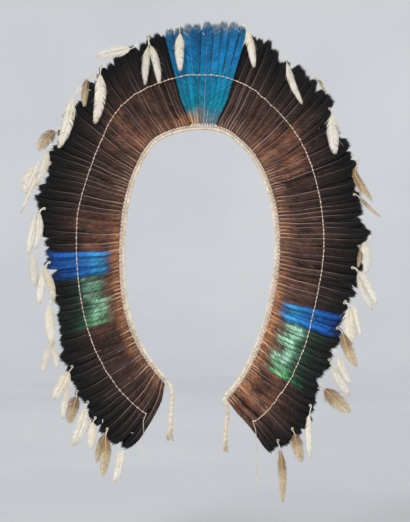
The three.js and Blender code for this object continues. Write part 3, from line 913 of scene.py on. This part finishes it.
# %% The feathers' colours
brown_vane = vane_finish(
    "brown vane",
    [(0.0, "#5c3a2e"), (0.2, "#45312b"), (0.48, "#3b2c28"), (0.6, "#271f1d"), (0.9, "#100e0d")],
    [(0.0, "#a4603e"), (0.2, "#905c42"), (0.48, "#855943"), (0.62, "#4a342c"), (0.92, "#171312")])
brown_shaft = shaft_finish("brown shaft", "#e6ba88", "#94807a", "#40373a")
crown_vane = vane_finish(
    "crown blue vane",
    [(0.06, "#2f97a8"), (0.2, "#0095ae"), (0.45, "#0090bc"), (0.7, "#0583c2"), (0.9, "#1478b2"),
     (0.97, "#87959b")],
    [(0.06, "#2f9ca2"), (0.2, "#0a9ba2"), (0.45, "#0896ae"), (0.7, "#0c8ab4"), (0.9, "#3d8296"),
     (0.97, "#979c9c")], inner_web_shade=0.82, quill="#dc965e", roughness=0.5, tip_noise=0.04, contrast=0.6)
crown_shaft = shaft_finish("crown shaft", "#f0cc9a", "#7c8cb0", "#8a8a94")
blue_vane = vane_finish(
    "blue vane",
    [(0.13, "#8d5a45"), (0.2, "#4d6f9c"), (0.3, "#369eda"), (0.55, "#2076c8"), (0.8, "#1454aa"),
     (0.98, "#14284e")],
    [(0.13, "#9a6040"), (0.2, "#5a86a8"), (0.3, "#48aede"), (0.55, "#2880cc"), (0.8, "#185cb0"),
     (0.98, "#16305a")], inner_web_shade=0.85, roughness=0.5, tip_noise=0.02, contrast=0.5)
blue_shaft = shaft_finish("blue shaft", "#e6ba84", "#5c6cac", "#2c3c66")
green_vane = vane_finish(
    "green vane",
    [(0.18, "#744a3a"), (0.27, "#7a7260"), (0.35, "#8ab89c"), (0.47, "#9ccab0"), (0.53, "#4f7866"),
     (0.62, "#23352c"), (0.78, "#171c19"), (0.96, "#121413")],
    [(0.18, "#8a5038"), (0.26, "#74704e"), (0.34, "#62ae62"), (0.5, "#66b466"), (0.6, "#2f8050"),
     (0.74, "#1c4a30"), (0.87, "#151d18"), (0.96, "#131514")], inner_web_shade=0.72, roughness=0.58, tip_noise=0.05)
green_shaft = shaft_finish("green shaft", "#e8bc8a", "#86806c", "#3c3a34")
cream_vane = vane_finish(
    "cream vane",
    [(0.0, "#ebdfc6"), (0.4, "#faf2e2"), (0.8, "#fcf6ea"), (1.0, "#f2e6d0")],
    [(0.0, "#dcc6a0"), (0.4, "#f2e4c8"), (0.8, "#f4e6cc"), (1.0, "#dec6a0")],
    inner_web_shade=0.95, quill="#e6d6b4", roughness=0.75, sheen=0.2, contrast=0.2, ageing=0.12)
cream_shaft = shaft_finish("cream shaft", "#f2e8d0", "#eadfc6", "#e0d2b4")
tan_vane = vane_finish(
    "tan vane",
    [(0.05, "#6a4f38"), (0.35, "#b09068"), (0.65, "#dcc6a0"), (1.0, "#e6d4b2")],
    [(0.05, "#5c4430"), (0.35, "#98744c"), (0.65, "#c8a676"), (1.0, "#d0b080")],
    inner_web_shade=0.88, quill="#d8c098", roughness=0.75, sheen=0.2, contrast=0.4, ageing=0.25)
tan_shaft = shaft_finish("tan shaft", "#ead9b6", "#dcc69c", "#b89c72")
print("feather finishes:", len(bpy.data.materials))

# %% [markdown]
# Cotton yarn is matt and a little hairy, and dust and the oils of hands leave it browner in places. A slow
# noise says where, and the fibres that wind round each strand give it small hairs. A picture of cloth would
# stretch along the bends of the yarn, and these can't.

# %% Cotton finishes
def cotton_finish(name, clean, soiled, scale):
    material, tree, shader = new_finish(name)
    streak = place_group(tree, fibres, Fineness=1.0)
    soil = noise(tree, object_place(tree), scale, 5.0, 0.65)
    worn = ramp(tree, soil, [(0.38, grey(0)), (0.72, grey(1))])
    colour = mix(tree, worn, paint(clean), paint(soiled))
    level = maths(tree, "MULTIPLY_ADD", streak["Streak"], 0.3, 0.85)
    level = maths(tree, "MULTIPLY_ADD", mark(tree, "tone"), 0.2, level)
    aged = place_group(tree, age, Color=scaled(tree, colour, level), Amount=0.25, Scale=35.0)["Color"]
    rough = maths(tree, "MULTIPLY_ADD", streak["Streak"], 0.1, 0.82)
    finish_with(tree, shader, aged, rough, streak["Height"], 0.5, 0.0003)
    shader.inputs["Sheen Weight"].default_value = 0.3
    shader.inputs["Sheen Roughness"].default_value = 0.6
    return material


band_cotton = cotton_finish("band cotton", "#f4e8d0", "#d6b694", 160.0)
lashing_cotton = cotton_finish("lashing cotton", "#f8e6cc", "#d4aa8a", 260.0)
thread_cotton = cotton_finish("thread cotton", "#f4e0cc", "#d0b098", 300.0)
core_cotton = cotton_finish("quill ends", "#a27a5a", "#5a3c2a", 400.0)
print("finishes with the cotton ones:", len(bpy.data.materials))

# %% [markdown]
# ## Tie cords and thread tails
#
# The loose ends come first, because they are the only parts that are free to move. Each tie cord carries
# on from an end of the band and hangs down under its own weight, with a slight wave where it was once
# tied. It ends in a knot, below which the yarn has come apart. The two tails are what was left over of
# the sewing thread. Their routes are short lists of points, because nobody could work out by formula how
# a thread happens to hang.

# %% Routes of the loose ends
TIE_ROUTES = {
    "left": [(-56.6, 0, -414.6), (-52, 0, -418.8), (-47.5, -0.5, -427), (-46.5, -1, -437),
             (-47.2, -1, -450), (-48, -1, -463), (-49.3, -1, -477), (-48.8, -1, -491)],
    "right": [(40.6, 0, -441.4), (39.6, 0, -446.6), (43.8, -0.5, -456), (44.8, -1, -466),
              (43.8, -1, -479), (41.6, -1, -495), (41.3, -1, -511)],
}
TASSELS = table("side drop lean width", [("left", 22, -3, 17), ("right", 20, -1, 13)])
TAIL_GAP = 1.2 * MM
TAIL_ROUTES = {
    "left": [(-93.9, -480), (-93.2, -495), (-94.6, -520), (-96, -546)],
    "right": [(90.6, -495), (91.3, -528), (91.6, -561), (93, -583), (95, -597)],
}


def stitch_point(index):
    """Where the sewing thread crosses one feather."""
    feather = fan_feathers[index]
    depth = front_near(index, feather.stitch) + THREAD_RADIUS + GAP
    across = np.cross(feather.true_way, FRONT) * feather.bowed(feather.stitch / feather.true_length)
    return feather.foot + feather.true_way * feather.stitch + across + FRONT * depth


def tail_line(side):
    """The route of a thread tail, from just under the end of the sewing thread."""
    start = stitch_point(0 if side == "left" else -1) - np.array([0, 0, THREAD_RADIUS + TAIL_GAP])
    hang = max(front_at(x * MM, z * MM) for x, z in TAIL_ROUTES[side]) + THREAD_RADIUS + GAP
    return smooth_line([start, *[(x * MM, -hang, z * MM) for x, z in TAIL_ROUTES[side]]])


tail_lengths = [round(lengths_along(tail_line(side))[-1] / MM) for side in TAIL_ROUTES]
print("thread tails in millimetres:", tail_lengths)

# %% Tassels
KNOT_TURNS = [(0.6, 3.5), (-1.6, 3.9), (-3.6, 3.3)]    # height and radius of each
KNOT_DROP = 2 * MM
TASSEL_STRANDS = 34
KNOT_YARN = 1.05 * MM
STRAND_ENDS = (0.62 * MM, 0.4 * MM)    # radius at the knot and at the loose end


def add_tassel(heap, knot, row, rng):
    """A knot, and a brush of loose strands that open out below it."""
    turns = np.linspace(0, 1, 60)
    for ring, (height, radius) in enumerate(KNOT_TURNS):
        angle = 2 * math.pi * turns + ring
        loop = np.stack([np.cos(angle) * radius * 0.72, np.sin(angle) * radius * 0.55,
                         -height - 2.0 + 0.9 * np.sin(angle + ring * 2)], axis=-1) * MM + knot
        add_tube(heap, loop, KNOT_YARN, up=np.array([0.0, 0, 1]), tone=0.1 * ring)
    t = np.linspace(0, 1, 9)
    open_out = 0.35 + 0.65 * t ** 1.2
    for _ in range(TASSEL_STRANDS):
        angle = rng.uniform(0, 2 * math.pi)
        spread = math.sqrt(rng.uniform(0, 1))
        across, depth = math.cos(angle) * spread, math.sin(angle) * spread
        drop = row["drop"] * MM * rng.uniform(0.72, 1.0)
        wave = np.sin(t * rng.uniform(4, 9) + rng.uniform(0, 6)) * 0.7 * MM * t
        line = np.stack([
            knot[0] + row["lean"] * MM * t + across * open_out * (row["width"] / 2 - 1) * MM + wave,
            knot[1] + depth * open_out * TIE_RADIUS * 1.2,
            knot[2] - KNOT_DROP - (drop - KNOT_DROP) * t,
        ], axis=-1)
        add_tube(heap, line, np.interp(t, [0, 1], STRAND_ENDS), 5, tone=rng.normal(0, 0.25))


# %% Make the tie cords and their tassels
def stand_for(piece, slot, *nodes):
    """Says what a piece rides on and hides the solids that it stands for; slot, its kind of material, is not
    used.
    """
    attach(piece, "root")
    if nodes:
        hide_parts(*nodes)


def declare_cord(cord, line, radius, far_end, **more):
    """Prints how long a cord's line is; radius, far_end and the other arguments are not used."""
    length = float(lengths_along(line)[-1])
    print(cord.name, "is", round(length / MM, 1), "mm long")


def make_tie(side, row, rng):
    line = smooth_line(np.array(TIE_ROUTES[side]) * MM)
    heap = Heap()
    add_twist(heap, line, TIE_RADIUS, 3, PITCHES["tie"], sides=10)
    cord = heap.build(f"tie_cord_{side}_yarn", band_cotton)
    heap = Heap()
    add_tassel(heap, line[-1], row, rng)
    tassel = heap.build(f"tie_tassel_{side}_yarn", band_cotton)
    stand_for(cord, "cotton", f"tie_cord_{side}")
    stand_for(tassel, "cotton", f"tie_tassel_{side}")
    declare_cord(cord, line, TIE_RADIUS, "knot", with_pieces=[tassel])


for tassel_row in TASSELS:
    make_tie(tassel_row["side"], tassel_row, np.random.default_rng(31))


# %% Make the thread tails
def make_tail(side):
    line = tail_line(side)
    heap = Heap()
    add_twist(heap, line, THREAD_RADIUS, 2, PITCHES["tail"], sides=6)
    tail = heap.build(f"thread_tail_{side}_yarn", thread_cotton)
    stand_for(tail, "thread", f"thread_tail_{side}")
    declare_cord(tail, line, THREAD_RADIUS, "bare")


for tail_side in TAIL_ROUTES:
    make_tail(tail_side)


# %% [markdown]
# ## The band
#
# The band has two rows. The inner one, which touches the head, is a plain laid cord. The outer one holds
# the quills: each is folded over a core and lashed down by a thinner yarn that goes round and round, with
# a little of the brown quill showing where one bundle of turns ends and the next one starts. Wrapping the
# yarn as a real spiral costs many faces, but the band is the brightest thing in the piece and the eye goes
# straight to it.

# %% Inner cord
def make_inner_cord():
    along = np.linspace(-crown_at, band_length - crown_at, 700)
    point, _, inward = on_band(along)
    heap = Heap()
    add_twist(heap, point + inward * (GAP / 2 + ROW_RADIUS), ROW_RADIUS * 1.02, 3, PITCHES["band"])
    stand_for(heap.build("inner_cord_yarn", band_cotton), "cotton", "headband_cord")


make_inner_cord()

# %% Outer lashing
WRAP_RADIUS = 0.52 * MM
WRAP_STEPS = 11                # points for each turn
WRAP_PITCH = 1.18 * MM
LEAST_TURNS = 4                # between two quills
BUNDLE_SHARE = 0.9             # how much of the way between two quills a bundle of turns takes up
WRAP_DEPTH = 1.12
CORE_SHARE = 0.8


def lashing_turns():
    """Where along the band each turn of lashing lies, in bundles between the quills."""
    turns = []
    for near, far in zip(fan_feathers[:-1], fan_feathers[1:]):
        count = max(LEAST_TURNS, round((far.along - near.along) / WRAP_PITCH))
        shares = (np.arange(count) + 0.5) / count
        turns.extend(near.along + (far.along - near.along) * (0.5 + (shares - 0.5) * BUNDLE_SHARE))
    return np.array(turns)


def make_lashing():
    rng = np.random.default_rng(77)
    turns = lashing_turns()
    steps = np.arange(len(turns) * WRAP_STEPS)
    along = np.interp(steps / WRAP_STEPS, np.arange(len(turns)), turns)
    angle = (2 * math.pi * steps / WRAP_STEPS)[:, None]
    point, run, inward = on_band(along)
    centre = point - inward * (GAP / 2 + ROW_RADIUS)
    wide = (ROW_RADIUS - WRAP_RADIUS) * (1 + 0.05 * np.sin(steps * 0.013))[:, None]
    wobble = (rng.normal(0, 0.05 * MM, len(turns)).repeat(WRAP_STEPS))[:, None]
    line = centre + np.cos(angle) * inward * wide + np.sin(angle) * FRONT * wide * WRAP_DEPTH
    heap = Heap()
    add_tube(heap, line + run * wobble, WRAP_RADIUS, 6, up=FRONT * 0.3 + np.array([0.5, 0, 0.7]),
             tone=np.repeat(rng.normal(0, 0.3, len(turns)), WRAP_STEPS))
    add_tube(heap, even_line(centre, 3 * MM), ROW_RADIUS * CORE_SHARE, finish=1)
    stand_for(heap.build("quill_lashing", lashing_cotton, core_cotton), "cotton")


make_lashing()

# %% [markdown]
# ## Bind the feathers
#
# With the shapes and finishes ready, each group of feathers is one piece, as it is bound to its own
# stretch of the band. It stands for the plain solid of the same name, which makes do with a few feathers
# less, to keep its faces few.

# %% Make every group of the fan
KINDS = {
    "brown": (brown_vane, brown_shaft, "brown_feather"),
    "green": (green_vane, green_shaft, "green_feather"),
    "blue": (blue_vane, blue_shaft, "blue_feather"),
    "crown": (crown_vane, crown_shaft, "blue_feather"),
}


def make_group(group):
    rng = np.random.default_rng(2000 + round(group["first"]))
    heap = Heap()
    for feather in fan[group["name"]]:
        add_fan_feather(heap, feather, rng)
    vane, shaft, slot = KINDS[group["kind"]]
    stand_for(heap.build(f"plumage_{group['name']}", vane, shaft), slot, f"feathers_{group['name']}")


for fan_group in FAN_GROUPS:
    make_group(fan_group)


# %% [markdown]
# ## The sewing thread
#
# One thread crosses all the shafts about half way out and is looped once round each of them, which stops
# the fan from folding or spreading. It is pulled straight between the loops, so it is a row of short
# straight stretches, with a small raised knot at each shaft.

# %% Make the sewing thread
SAG = 0.6 * MM                 # how far the thread strays up or down from one feather to the next
KNOT_TURN = 1.6                # how often the loop goes round a shaft
KNOT_LENGTH, KNOT_WIDTH, KNOT_DEPTH = 1.3 * MM, 1.15 * MM, 0.85 * MM
KNOT_SIZES = (0.9, 1.4)
KNOT_RADIUS = 0.55 * MM
TIGHT = 0.75                   # pulled tight, the thread is thinner than its loose tails


def shaft_crossing(index):
    """The stitch point of one feather, moved over its shaft."""
    feather = fan_feathers[index]
    bias = 0.0 if feather.crown else FLIGHT["bias"] * feather.roll * feather.width / 2
    return stitch_point(index) + feather.across * bias - FRONT * 0.5 * MM


def make_sewing_thread():
    rng = np.random.default_rng(5)
    crossings = [shaft_crossing(index) for index in range(len(fan_feathers))]
    crossings[0], crossings[-1] = stitch_point(0), stitch_point(-1)
    pulled = [spot + np.array([0, 0, rng.normal(0, SAG)]) for spot in crossings]
    line = np.vstack([np.linspace(a, b, 5)[:-1] for a, b in zip(pulled[:-1], pulled[1:])] + [pulled[-1]])
    heap = Heap()
    add_twist(heap, line, THREAD_RADIUS * TIGHT, 2, PITCHES["thread"], sides=6)
    turns = np.linspace(0, 1, 15)
    for feather, spot in zip(fan_feathers, pulled):
        size = rng.uniform(*KNOT_SIZES)
        angle = turns * 2 * math.pi * KNOT_TURN + rng.uniform(0, 6)
        loop = (spot - FRONT * 0.2 * MM + feather.way * ((turns - 0.5) * size * KNOT_LENGTH)[:, None]
                + feather.across * (np.cos(angle) * size * KNOT_WIDTH)[:, None]
                + FRONT * (np.sin(angle) * size * KNOT_DEPTH)[:, None])
        add_tube(heap, loop, KNOT_RADIUS, 5, up=feather.way, tone=rng.normal(0.3, 0.3))
    stand_for(heap.build("sewing_thread_yarn", thread_cotton), "thread", "sewing_thread")


make_sewing_thread()

# %% [markdown]
# ## The hanging feathers
#
# Small body feathers hang in front of the rim, each by its own quill, which was bent over and tied to a
# shaft. Body feathers are soft: their lower barbs are long and loose, and the vane splits at a touch. So
# they are made by the same rules as the fan's feathers, with looser values. Their space follows a bent
# line instead of a straight one.

# %% Table of the hanging feathers
HANGINGS = table("pendant hook_x hook_z neck_x neck_z tip_x tip_z width bow layer kind", [
    ("left_01", -35, 168, -33.8, 162.5, -33.2, 94, 15, 1, 0, "cream"),
    ("left_02", -86, 148, -85, 143, -91, 71, 12, 2, 0, "cream"),
    ("left_02", -86, 148, -84, 142, -67, 73, 12, -3, 1, "cream"),
    ("left_03", -107, 138, -110.6, 134, -173.4, 120.5, 17, -3, 0, "cream"),
    ("left_04", -160, 104, -163.7, 98, -173.4, 7.5, 18, -4, 1, "cream"),
    ("left_05", -180, 89, -185.6, 82.5, -190.6, 35.5, 12, 2, 0, "tan"),
    ("left_06", -201.5, 66, -211.5, 40, -233.8, -32.5, 18, -3, 0, "cream"),
    ("left_07", -232, 2, -246, -9, -267, -36, 20, 2, 0, "tan"),
    ("left_08", -246, -24, -249.5, -29, -270.3, -95, 13, -4, 1, "cream"),
    ("left_09", -268, -56, -270.3, -60.6, -289, -107, 21, 2, 0, "cream"),
    ("left_09", -269, -58, -271.4, -84, -296, -140, 5, 0, 1, "tan"),
    ("left_10", -258, -129, -264.2, -133.7, -283.6, -207, 15, 1, 0, "cream"),
    ("left_10", -258, -129, -263, -135, -272, -199, 12, -3, 1, "cream"),
    ("left_11", -268, -199, -273.6, -205, -272, -259, 14, 1, 2, "cream"),
    ("left_12", -250, -218, -256.7, -227, -265, -289, 15, 1, 0, "cream"),
    ("left_12", -250, -218, -255, -229, -240, -284, 13, -2, 1, "cream"),
    ("left_13", -244, -279, -247.3, -284, -243, -358, 16, 2, 2, "cream"),
    ("left_14", -241, -350, -245.2, -355, -258.9, -401, 13, 2, 0, "cream"),
    ("left_14", -241, -350, -244, -356, -234.6, -394, 12, -2, 1, "cream"),
    ("left_15", -210, -391, -215.3, -397, -242.7, -444, 20, -2, 0, "cream"),
    ("left_16", -211, -419, -215.8, -424, -227, -477.5, 12, 1, 1, "cream"),
    ("left_17", -204, -430.7, -203.3, -438, -215.3, -484, 20, 2, 0, "tan"),
    ("left_18", -184, -449, -187.4, -454.6, -209.6, -521, 21, -3, 1, "cream"),
    ("left_19", -172, -475, -176.4, -480, -179, -527, 15, 1, 0, "cream"),
    ("left_20", -152, -493, -156, -498, -171, -549.5, 12, 2, 0, "tan"),
    ("left_20", -152, -493, -155, -500, -160.5, -570, 17, -2, 1, "cream"),
    ("left_21", -138, -536, -130, -527, -142.4, -581.6, 15, -3, 0, "cream"),
    ("right_01", 71, 172, 73.9, 167, 88.3, 99.7, 13, -2, 0, "cream"),
    ("right_02", 138, 121, 140.3, 115, 167.8, 40, 11, 4, 0, "cream"),
    ("right_03", 190, 86, 197, 77, 206, 60, 5, 1, 0, "tan"),
    ("right_04", 214, 34, 216.6, 21, 221, -42.2, 19, 1, 0, "cream"),
    ("right_05", 260, -53, 252.5, -69, 266, -110.6, 7, 2, 0, "tan"),
    ("right_05", 260, -53, 253.5, -70, 283, -119, 11, 2, 1, "cream"),
    ("right_06", 254, -106, 260, -111, 296.5, -145, 6, 2, 2, "tan"),
    ("right_07", 279, -177, 270.3, -190, 271.4, -239, 16, -2, 0, "cream"),
    ("right_17", 262, -192, 262, -203, 258, -228, 8, -1, 1, "tan"),
    ("right_08", 251, -226, 256.6, -231.5, 283, -298, 13, 2, 0, "cream"),
    ("right_08", 251, -226, 257.5, -230, 291, -289, 12, -2, 1, "cream"),
    ("right_09", 238, -284, 243.2, -290, 247.3, -356, 21, 0, 0, "cream"),
    ("right_09", 238, -284, 250, -291, 263.7, -342, 8, -1, 1, "cream"),
    ("right_10", 226, -326, 230.8, -331, 256.6, -391, 17, 2, 2, "tan"),
    ("right_11", 220, -365, 225.2, -371, 246, -418.6, 14, 1, 1, "cream"),
    ("right_12", 213, -378, 215.8, -386, 246, -439, 16, 2, 0, "cream"),
    ("right_13", 197, -419, 202, -424, 247, -465.5, 23, 2, 0, "tan"),
    ("right_14", 182, -454, 178, -474, 180, -543.5, 10, 1, 1, "cream"),
    ("right_15", 150, -493, 154, -498, 167, -548, 18, 1, 0, "tan"),
    ("right_16", 126, -512, 129, -518, 134.5, -613.8, 13, -3, 0, "tan"),
])
pendants = {row["pendant"] for row in HANGINGS}
print("hanging feathers:", len(HANGINGS), "in", len(pendants), "pendants")

# %% A hanging feather's own space
SLIM_WIDTH = 9 * MM
FLUFF = 1.1                    # loose barbs make a vane wider than its table says
FIRST_LAYER = 1.4 * MM
LAYER_STEP = 2 * MM


class HangingFeather:
    """A small feather that hangs in front of the rim on its bent quill."""

    def __init__(self, row):
        middle = ((row["neck_x"] + row["tip_x"]) / 2 - row["bow"], (row["neck_z"] + row["tip_z"]) / 2)
        body = [(row["neck_x"], row["neck_z"]), middle, (row["tip_x"], row["tip_z"])]
        reach = max(front_at(x * MM, z * MM) for x, z in body) + FIRST_LAYER + LAYER_STEP * row["layer"]
        hook = front_at(row["hook_x"] * MM, row["hook_z"] * MM) + PENDANT_QUILL / 2 + GAP
        points = [(row["hook_x"] * MM, -hook, row["hook_z"] * MM)]
        points += [(x * MM, -reach, z * MM) for x, z in body]
        self.line = smooth_line(points)
        self.length = lengths_along(self.line)[-1]
        self.width = FLUFF * row["width"] * MM
        self.slim = self.width < SLIM_WIDTH

    def place(self, out, side, forward):
        out = np.asarray(out, float)
        point = at_length(self.line, np.clip(out, 0, self.length))
        ahead = at_length(self.line, np.clip(out + MM, 0, self.length))
        behind = at_length(self.line, np.clip(out - MM, 0, self.length))
        run = (ahead - behind) * np.array([1.0, 0, 1.0])
        across = np.cross(unit(run), FRONT)
        return point + across * np.asarray(side)[..., None] + FRONT * np.asarray(forward)[..., None]


def hanging_shape(feather):
    half_width = feather.width / 2

    def half(share):
        opening = smooth_step(share, 0.1, 0.42)
        return half_width * (0.12 + 0.88 * opening) * round_tip(share, 0.5, 1.7)

    def shaft(share):
        return 0 * share

    return {
        "length": feather.length, "barbs": 58, "start": 0.15 * feather.length, "tip_reach": 3.5 * MM,
        "slant": min(0.75 * feather.width, 10 * MM), "base_slant": min(0.5 * feather.width, 7 * MM), "lock": 5,
        "draw": 1.0 * MM, "splits": 0.3 if feather.slim else 0.22, "fray": 0.05, "broken": 0.05,
        "stray": 0.15 * MM, "cover": 1.3, "cup": -0.5 * MM, "tilt": 0.1 * MM, "ridge": 0.22 * MM,
        "mottle": 0.06, "half": half, "shaft": shaft, "outer": 1,
    }


print("length of the first one, in millimetres:", round(HangingFeather(HANGINGS[0]).length / MM))

# %% Loose down at the base of a hanging feather
DOWN_STRANDS = {"slim": 9, "tan": 34, "cream": 20}


def add_down(heap, feather, rng, count, marks):
    """Long thin barbs that curl away below the vane."""
    t = np.linspace(0, 1, 6)
    radius = np.interp(t, [0, 1], [0.24, 0.09]) * MM
    for _ in range(count):
        root = feather.length * rng.uniform(0.13, 0.6)
        reach = rng.uniform(0.5, 1.2) * feather.width * 0.68
        way = rng.choice([-1, 1])
        out = root + reach * rng.uniform(0.5, 1.4) * t ** 1.3
        side = way * reach * t ** 0.9 * rng.uniform(0.6, 1)
        lift = rng.uniform(-1.0, 1.4) * MM * t ** 1.5
        add_tube(heap, feather.place(out, side, lift), radius, 4, share=out / feather.length, **marks)


# %% [markdown]
# The end of each quill is bent over, and shows as a small hook at the rim. It is a stretch of a spiral that
# starts where the quill leaves the rim and turns in towards the head, whichever side the feather hangs on.
# Four of the hooks are wider than the others.

# %% The hook at the top of a hanging feather
HOOKS = {"left_05": 5.0, "left_06": 3.8, "right_03": 3.4, "right_05": 3.6}
PLAIN_HOOK = 2.3
HOOK_POINTS = 18
HOOK_TURN = 1.5 * math.pi
HEAD_CENTRE = np.array([0, 0, -0.13])


def add_hook(heap, row, feather, marks):
    """The quill's end, bent back over the rim towards the band."""
    radius = HOOKS.get(row["pendant"], PLAIN_HOOK) * MM
    start = feather.line[0]
    back = unit((start - feather.line[PER_STRETCH // 4]) * np.array([1.0, 0, 1.0]))
    side = np.cross(back, FRONT)
    side = side * np.sign(side @ (HEAD_CENTRE - start))
    turn = np.linspace(0, HOOK_TURN, HOOK_POINTS)[:, None]
    tight = radius * (1 - 0.09 * turn)
    line = start + back * np.sin(turn) * tight + side * (1 - np.cos(turn)) * tight + FRONT * turn * 0.35 * MM
    add_tube(heap, line, np.linspace(0.75, 0.42, HOOK_POINTS) * MM, 6, 1, **marks)


# %% Make the hanging feathers
HANGING_KINDS = {
    "cream": (cream_vane, cream_shaft, "cream_feather"),
    "tan": (tan_vane, tan_shaft, "tan_feather"),
}


def add_hanging(heap, row, rng):
    feather = HangingFeather(row)
    shape = hanging_shape(feather)
    marks = {"tone": rng.normal(0, 0.12), "red": rng.uniform(0, 0.8), "pale": 1.0}
    add_vane(heap, shape, feather.place, rng, **marks)
    add_down(heap, feather, rng, DOWN_STRANDS["slim" if feather.slim else row["kind"]], marks)
    add_shaft(heap, shape, feather.place, 0.8 * MM, 0.2 * MM, 0.0, **marks)
    add_hook(heap, row, feather, marks)


def make_pendant(name):
    rows = [row for row in HANGINGS if row["pendant"] == name]
    rng = np.random.default_rng(900 + sum(map(ord, name)))
    heap = Heap()
    for row in rows:
        add_hanging(heap, row, rng)
    vane, shaft, slot = HANGING_KINDS[rows[0]["kind"]]
    stand_for(heap.build(f"hanging_{name}", vane, shaft), slot, f"pendant_{name}")


for pendant_name in dict.fromkeys(row["pendant"] for row in HANGINGS):
    make_pendant(pendant_name)


# %% [markdown]
# ## The studio
#
# The piece floats in front of a plain pale background. A flat wall would stand in the way of a camera
# that walks round to the back, so floor and wall are one round bowl that is larger than any camera's
# distance. Soft light comes from three very wide suns and from the sky of the world. A sun is equally bright
# everywhere, so floor and wall keep one tone, and a wide one gives no hard shadow.

# %% Floor and background
FLOOR_HEIGHT = -0.70
FLOOR_RADIUS = 4.4
BOWL_CURVE = 2.8
BOWL_HEIGHT = 3.2
BOWL_SIDES = 96


def bowl_outline():
    """Radius and height of the bowl, from its middle over the curve to its rim."""
    turn = np.linspace(0, math.pi / 2, 14)
    curve = [(FLOOR_RADIUS + BOWL_CURVE * math.sin(a), BOWL_CURVE * (1 - math.cos(a))) for a in turn]
    return [(0.5, 0), (2.5, 0), *curve, (FLOOR_RADIUS + BOWL_CURVE, BOWL_HEIGHT)]


def make_bowl():
    sides = BOWL_SIDES
    turn = np.linspace(0, 2 * math.pi, sides, endpoint=False)
    rings = [[(r * math.cos(a), r * math.sin(a), FLOOR_HEIGHT + h) for a in turn] for r, h in bowl_outline()]
    points = [(0, 0, FLOOR_HEIGHT)] + [point for ring in rings for point in ring]
    faces = [(0, 1 + k, 1 + (k + 1) % sides) for k in range(sides)]
    for ring in range(len(rings) - 1):
        low, high = 1 + ring * sides, 1 + (ring + 1) * sides
        faces += [(low + k, high + k, high + (k + 1) % sides, low + (k + 1) % sides) for k in range(sides)]
    mesh = bpy.data.meshes.new("bowl")
    mesh.from_pydata(points, [], faces)
    mesh.polygons.foreach_set("use_smooth", np.ones(len(faces), bool))
    bowl = bpy.data.objects.new("bowl", mesh)
    bpy.context.scene.collection.objects.link(bowl)
    return bowl


def paper_finish():
    material, tree, shader = new_finish("pale paper")
    cloud = noise(tree, object_place(tree), 1.3, 3.0)
    tree.links.new(ramp(tree, cloud, [(0.3, "#b4b6b9"), (0.7, "#babcbe")]), shader.inputs["Base Color"])
    shader.inputs["Roughness"].default_value = 0.95
    return material


bowl = make_bowl()
bowl.data.materials.append(paper_finish())

# %% Lights
LIGHTS = table("name place strength spread", [
    ("key light", (-1.1, -1.7, 1.6), 1.9, 30),
    ("fill light", (1.7, -1.9, 0.5), 0.7, 60),
    ("back light", (0.4, 2.2, 1.5), 0.7, 50),
])


def add_light(row):
    light = bpy.data.lights.new(row["name"], "SUN")
    light.angle = math.radians(row["spread"])
    light.energy = row["strength"]
    holder = bpy.data.objects.new(row["name"], light)
    x, y, z = row["place"]
    holder.location = row["place"]
    holder.rotation_euler = (math.atan2(math.hypot(x, y), z), 0, math.atan2(y, x) + math.pi / 2)
    bpy.context.scene.collection.objects.link(holder)


for light_row in LIGHTS:
    add_light(light_row)
world = bpy.data.worlds.new("studio sky")
world.use_nodes = True
world.node_tree.nodes["Background"].inputs["Color"].default_value = paint("#f2f4f7")
world.node_tree.nodes["Background"].inputs["Strength"].default_value = 0.8
bpy.context.scene.world = world
bpy.context.scene.view_settings.view_transform = "Standard"
print("lights:", len(LIGHTS))

# %% [markdown]
# ## Triangles
#
# The last line adds up the triangles of every piece that was made.

# %% Triangles in all
print("triangles in all:", sum(triangle_counts))
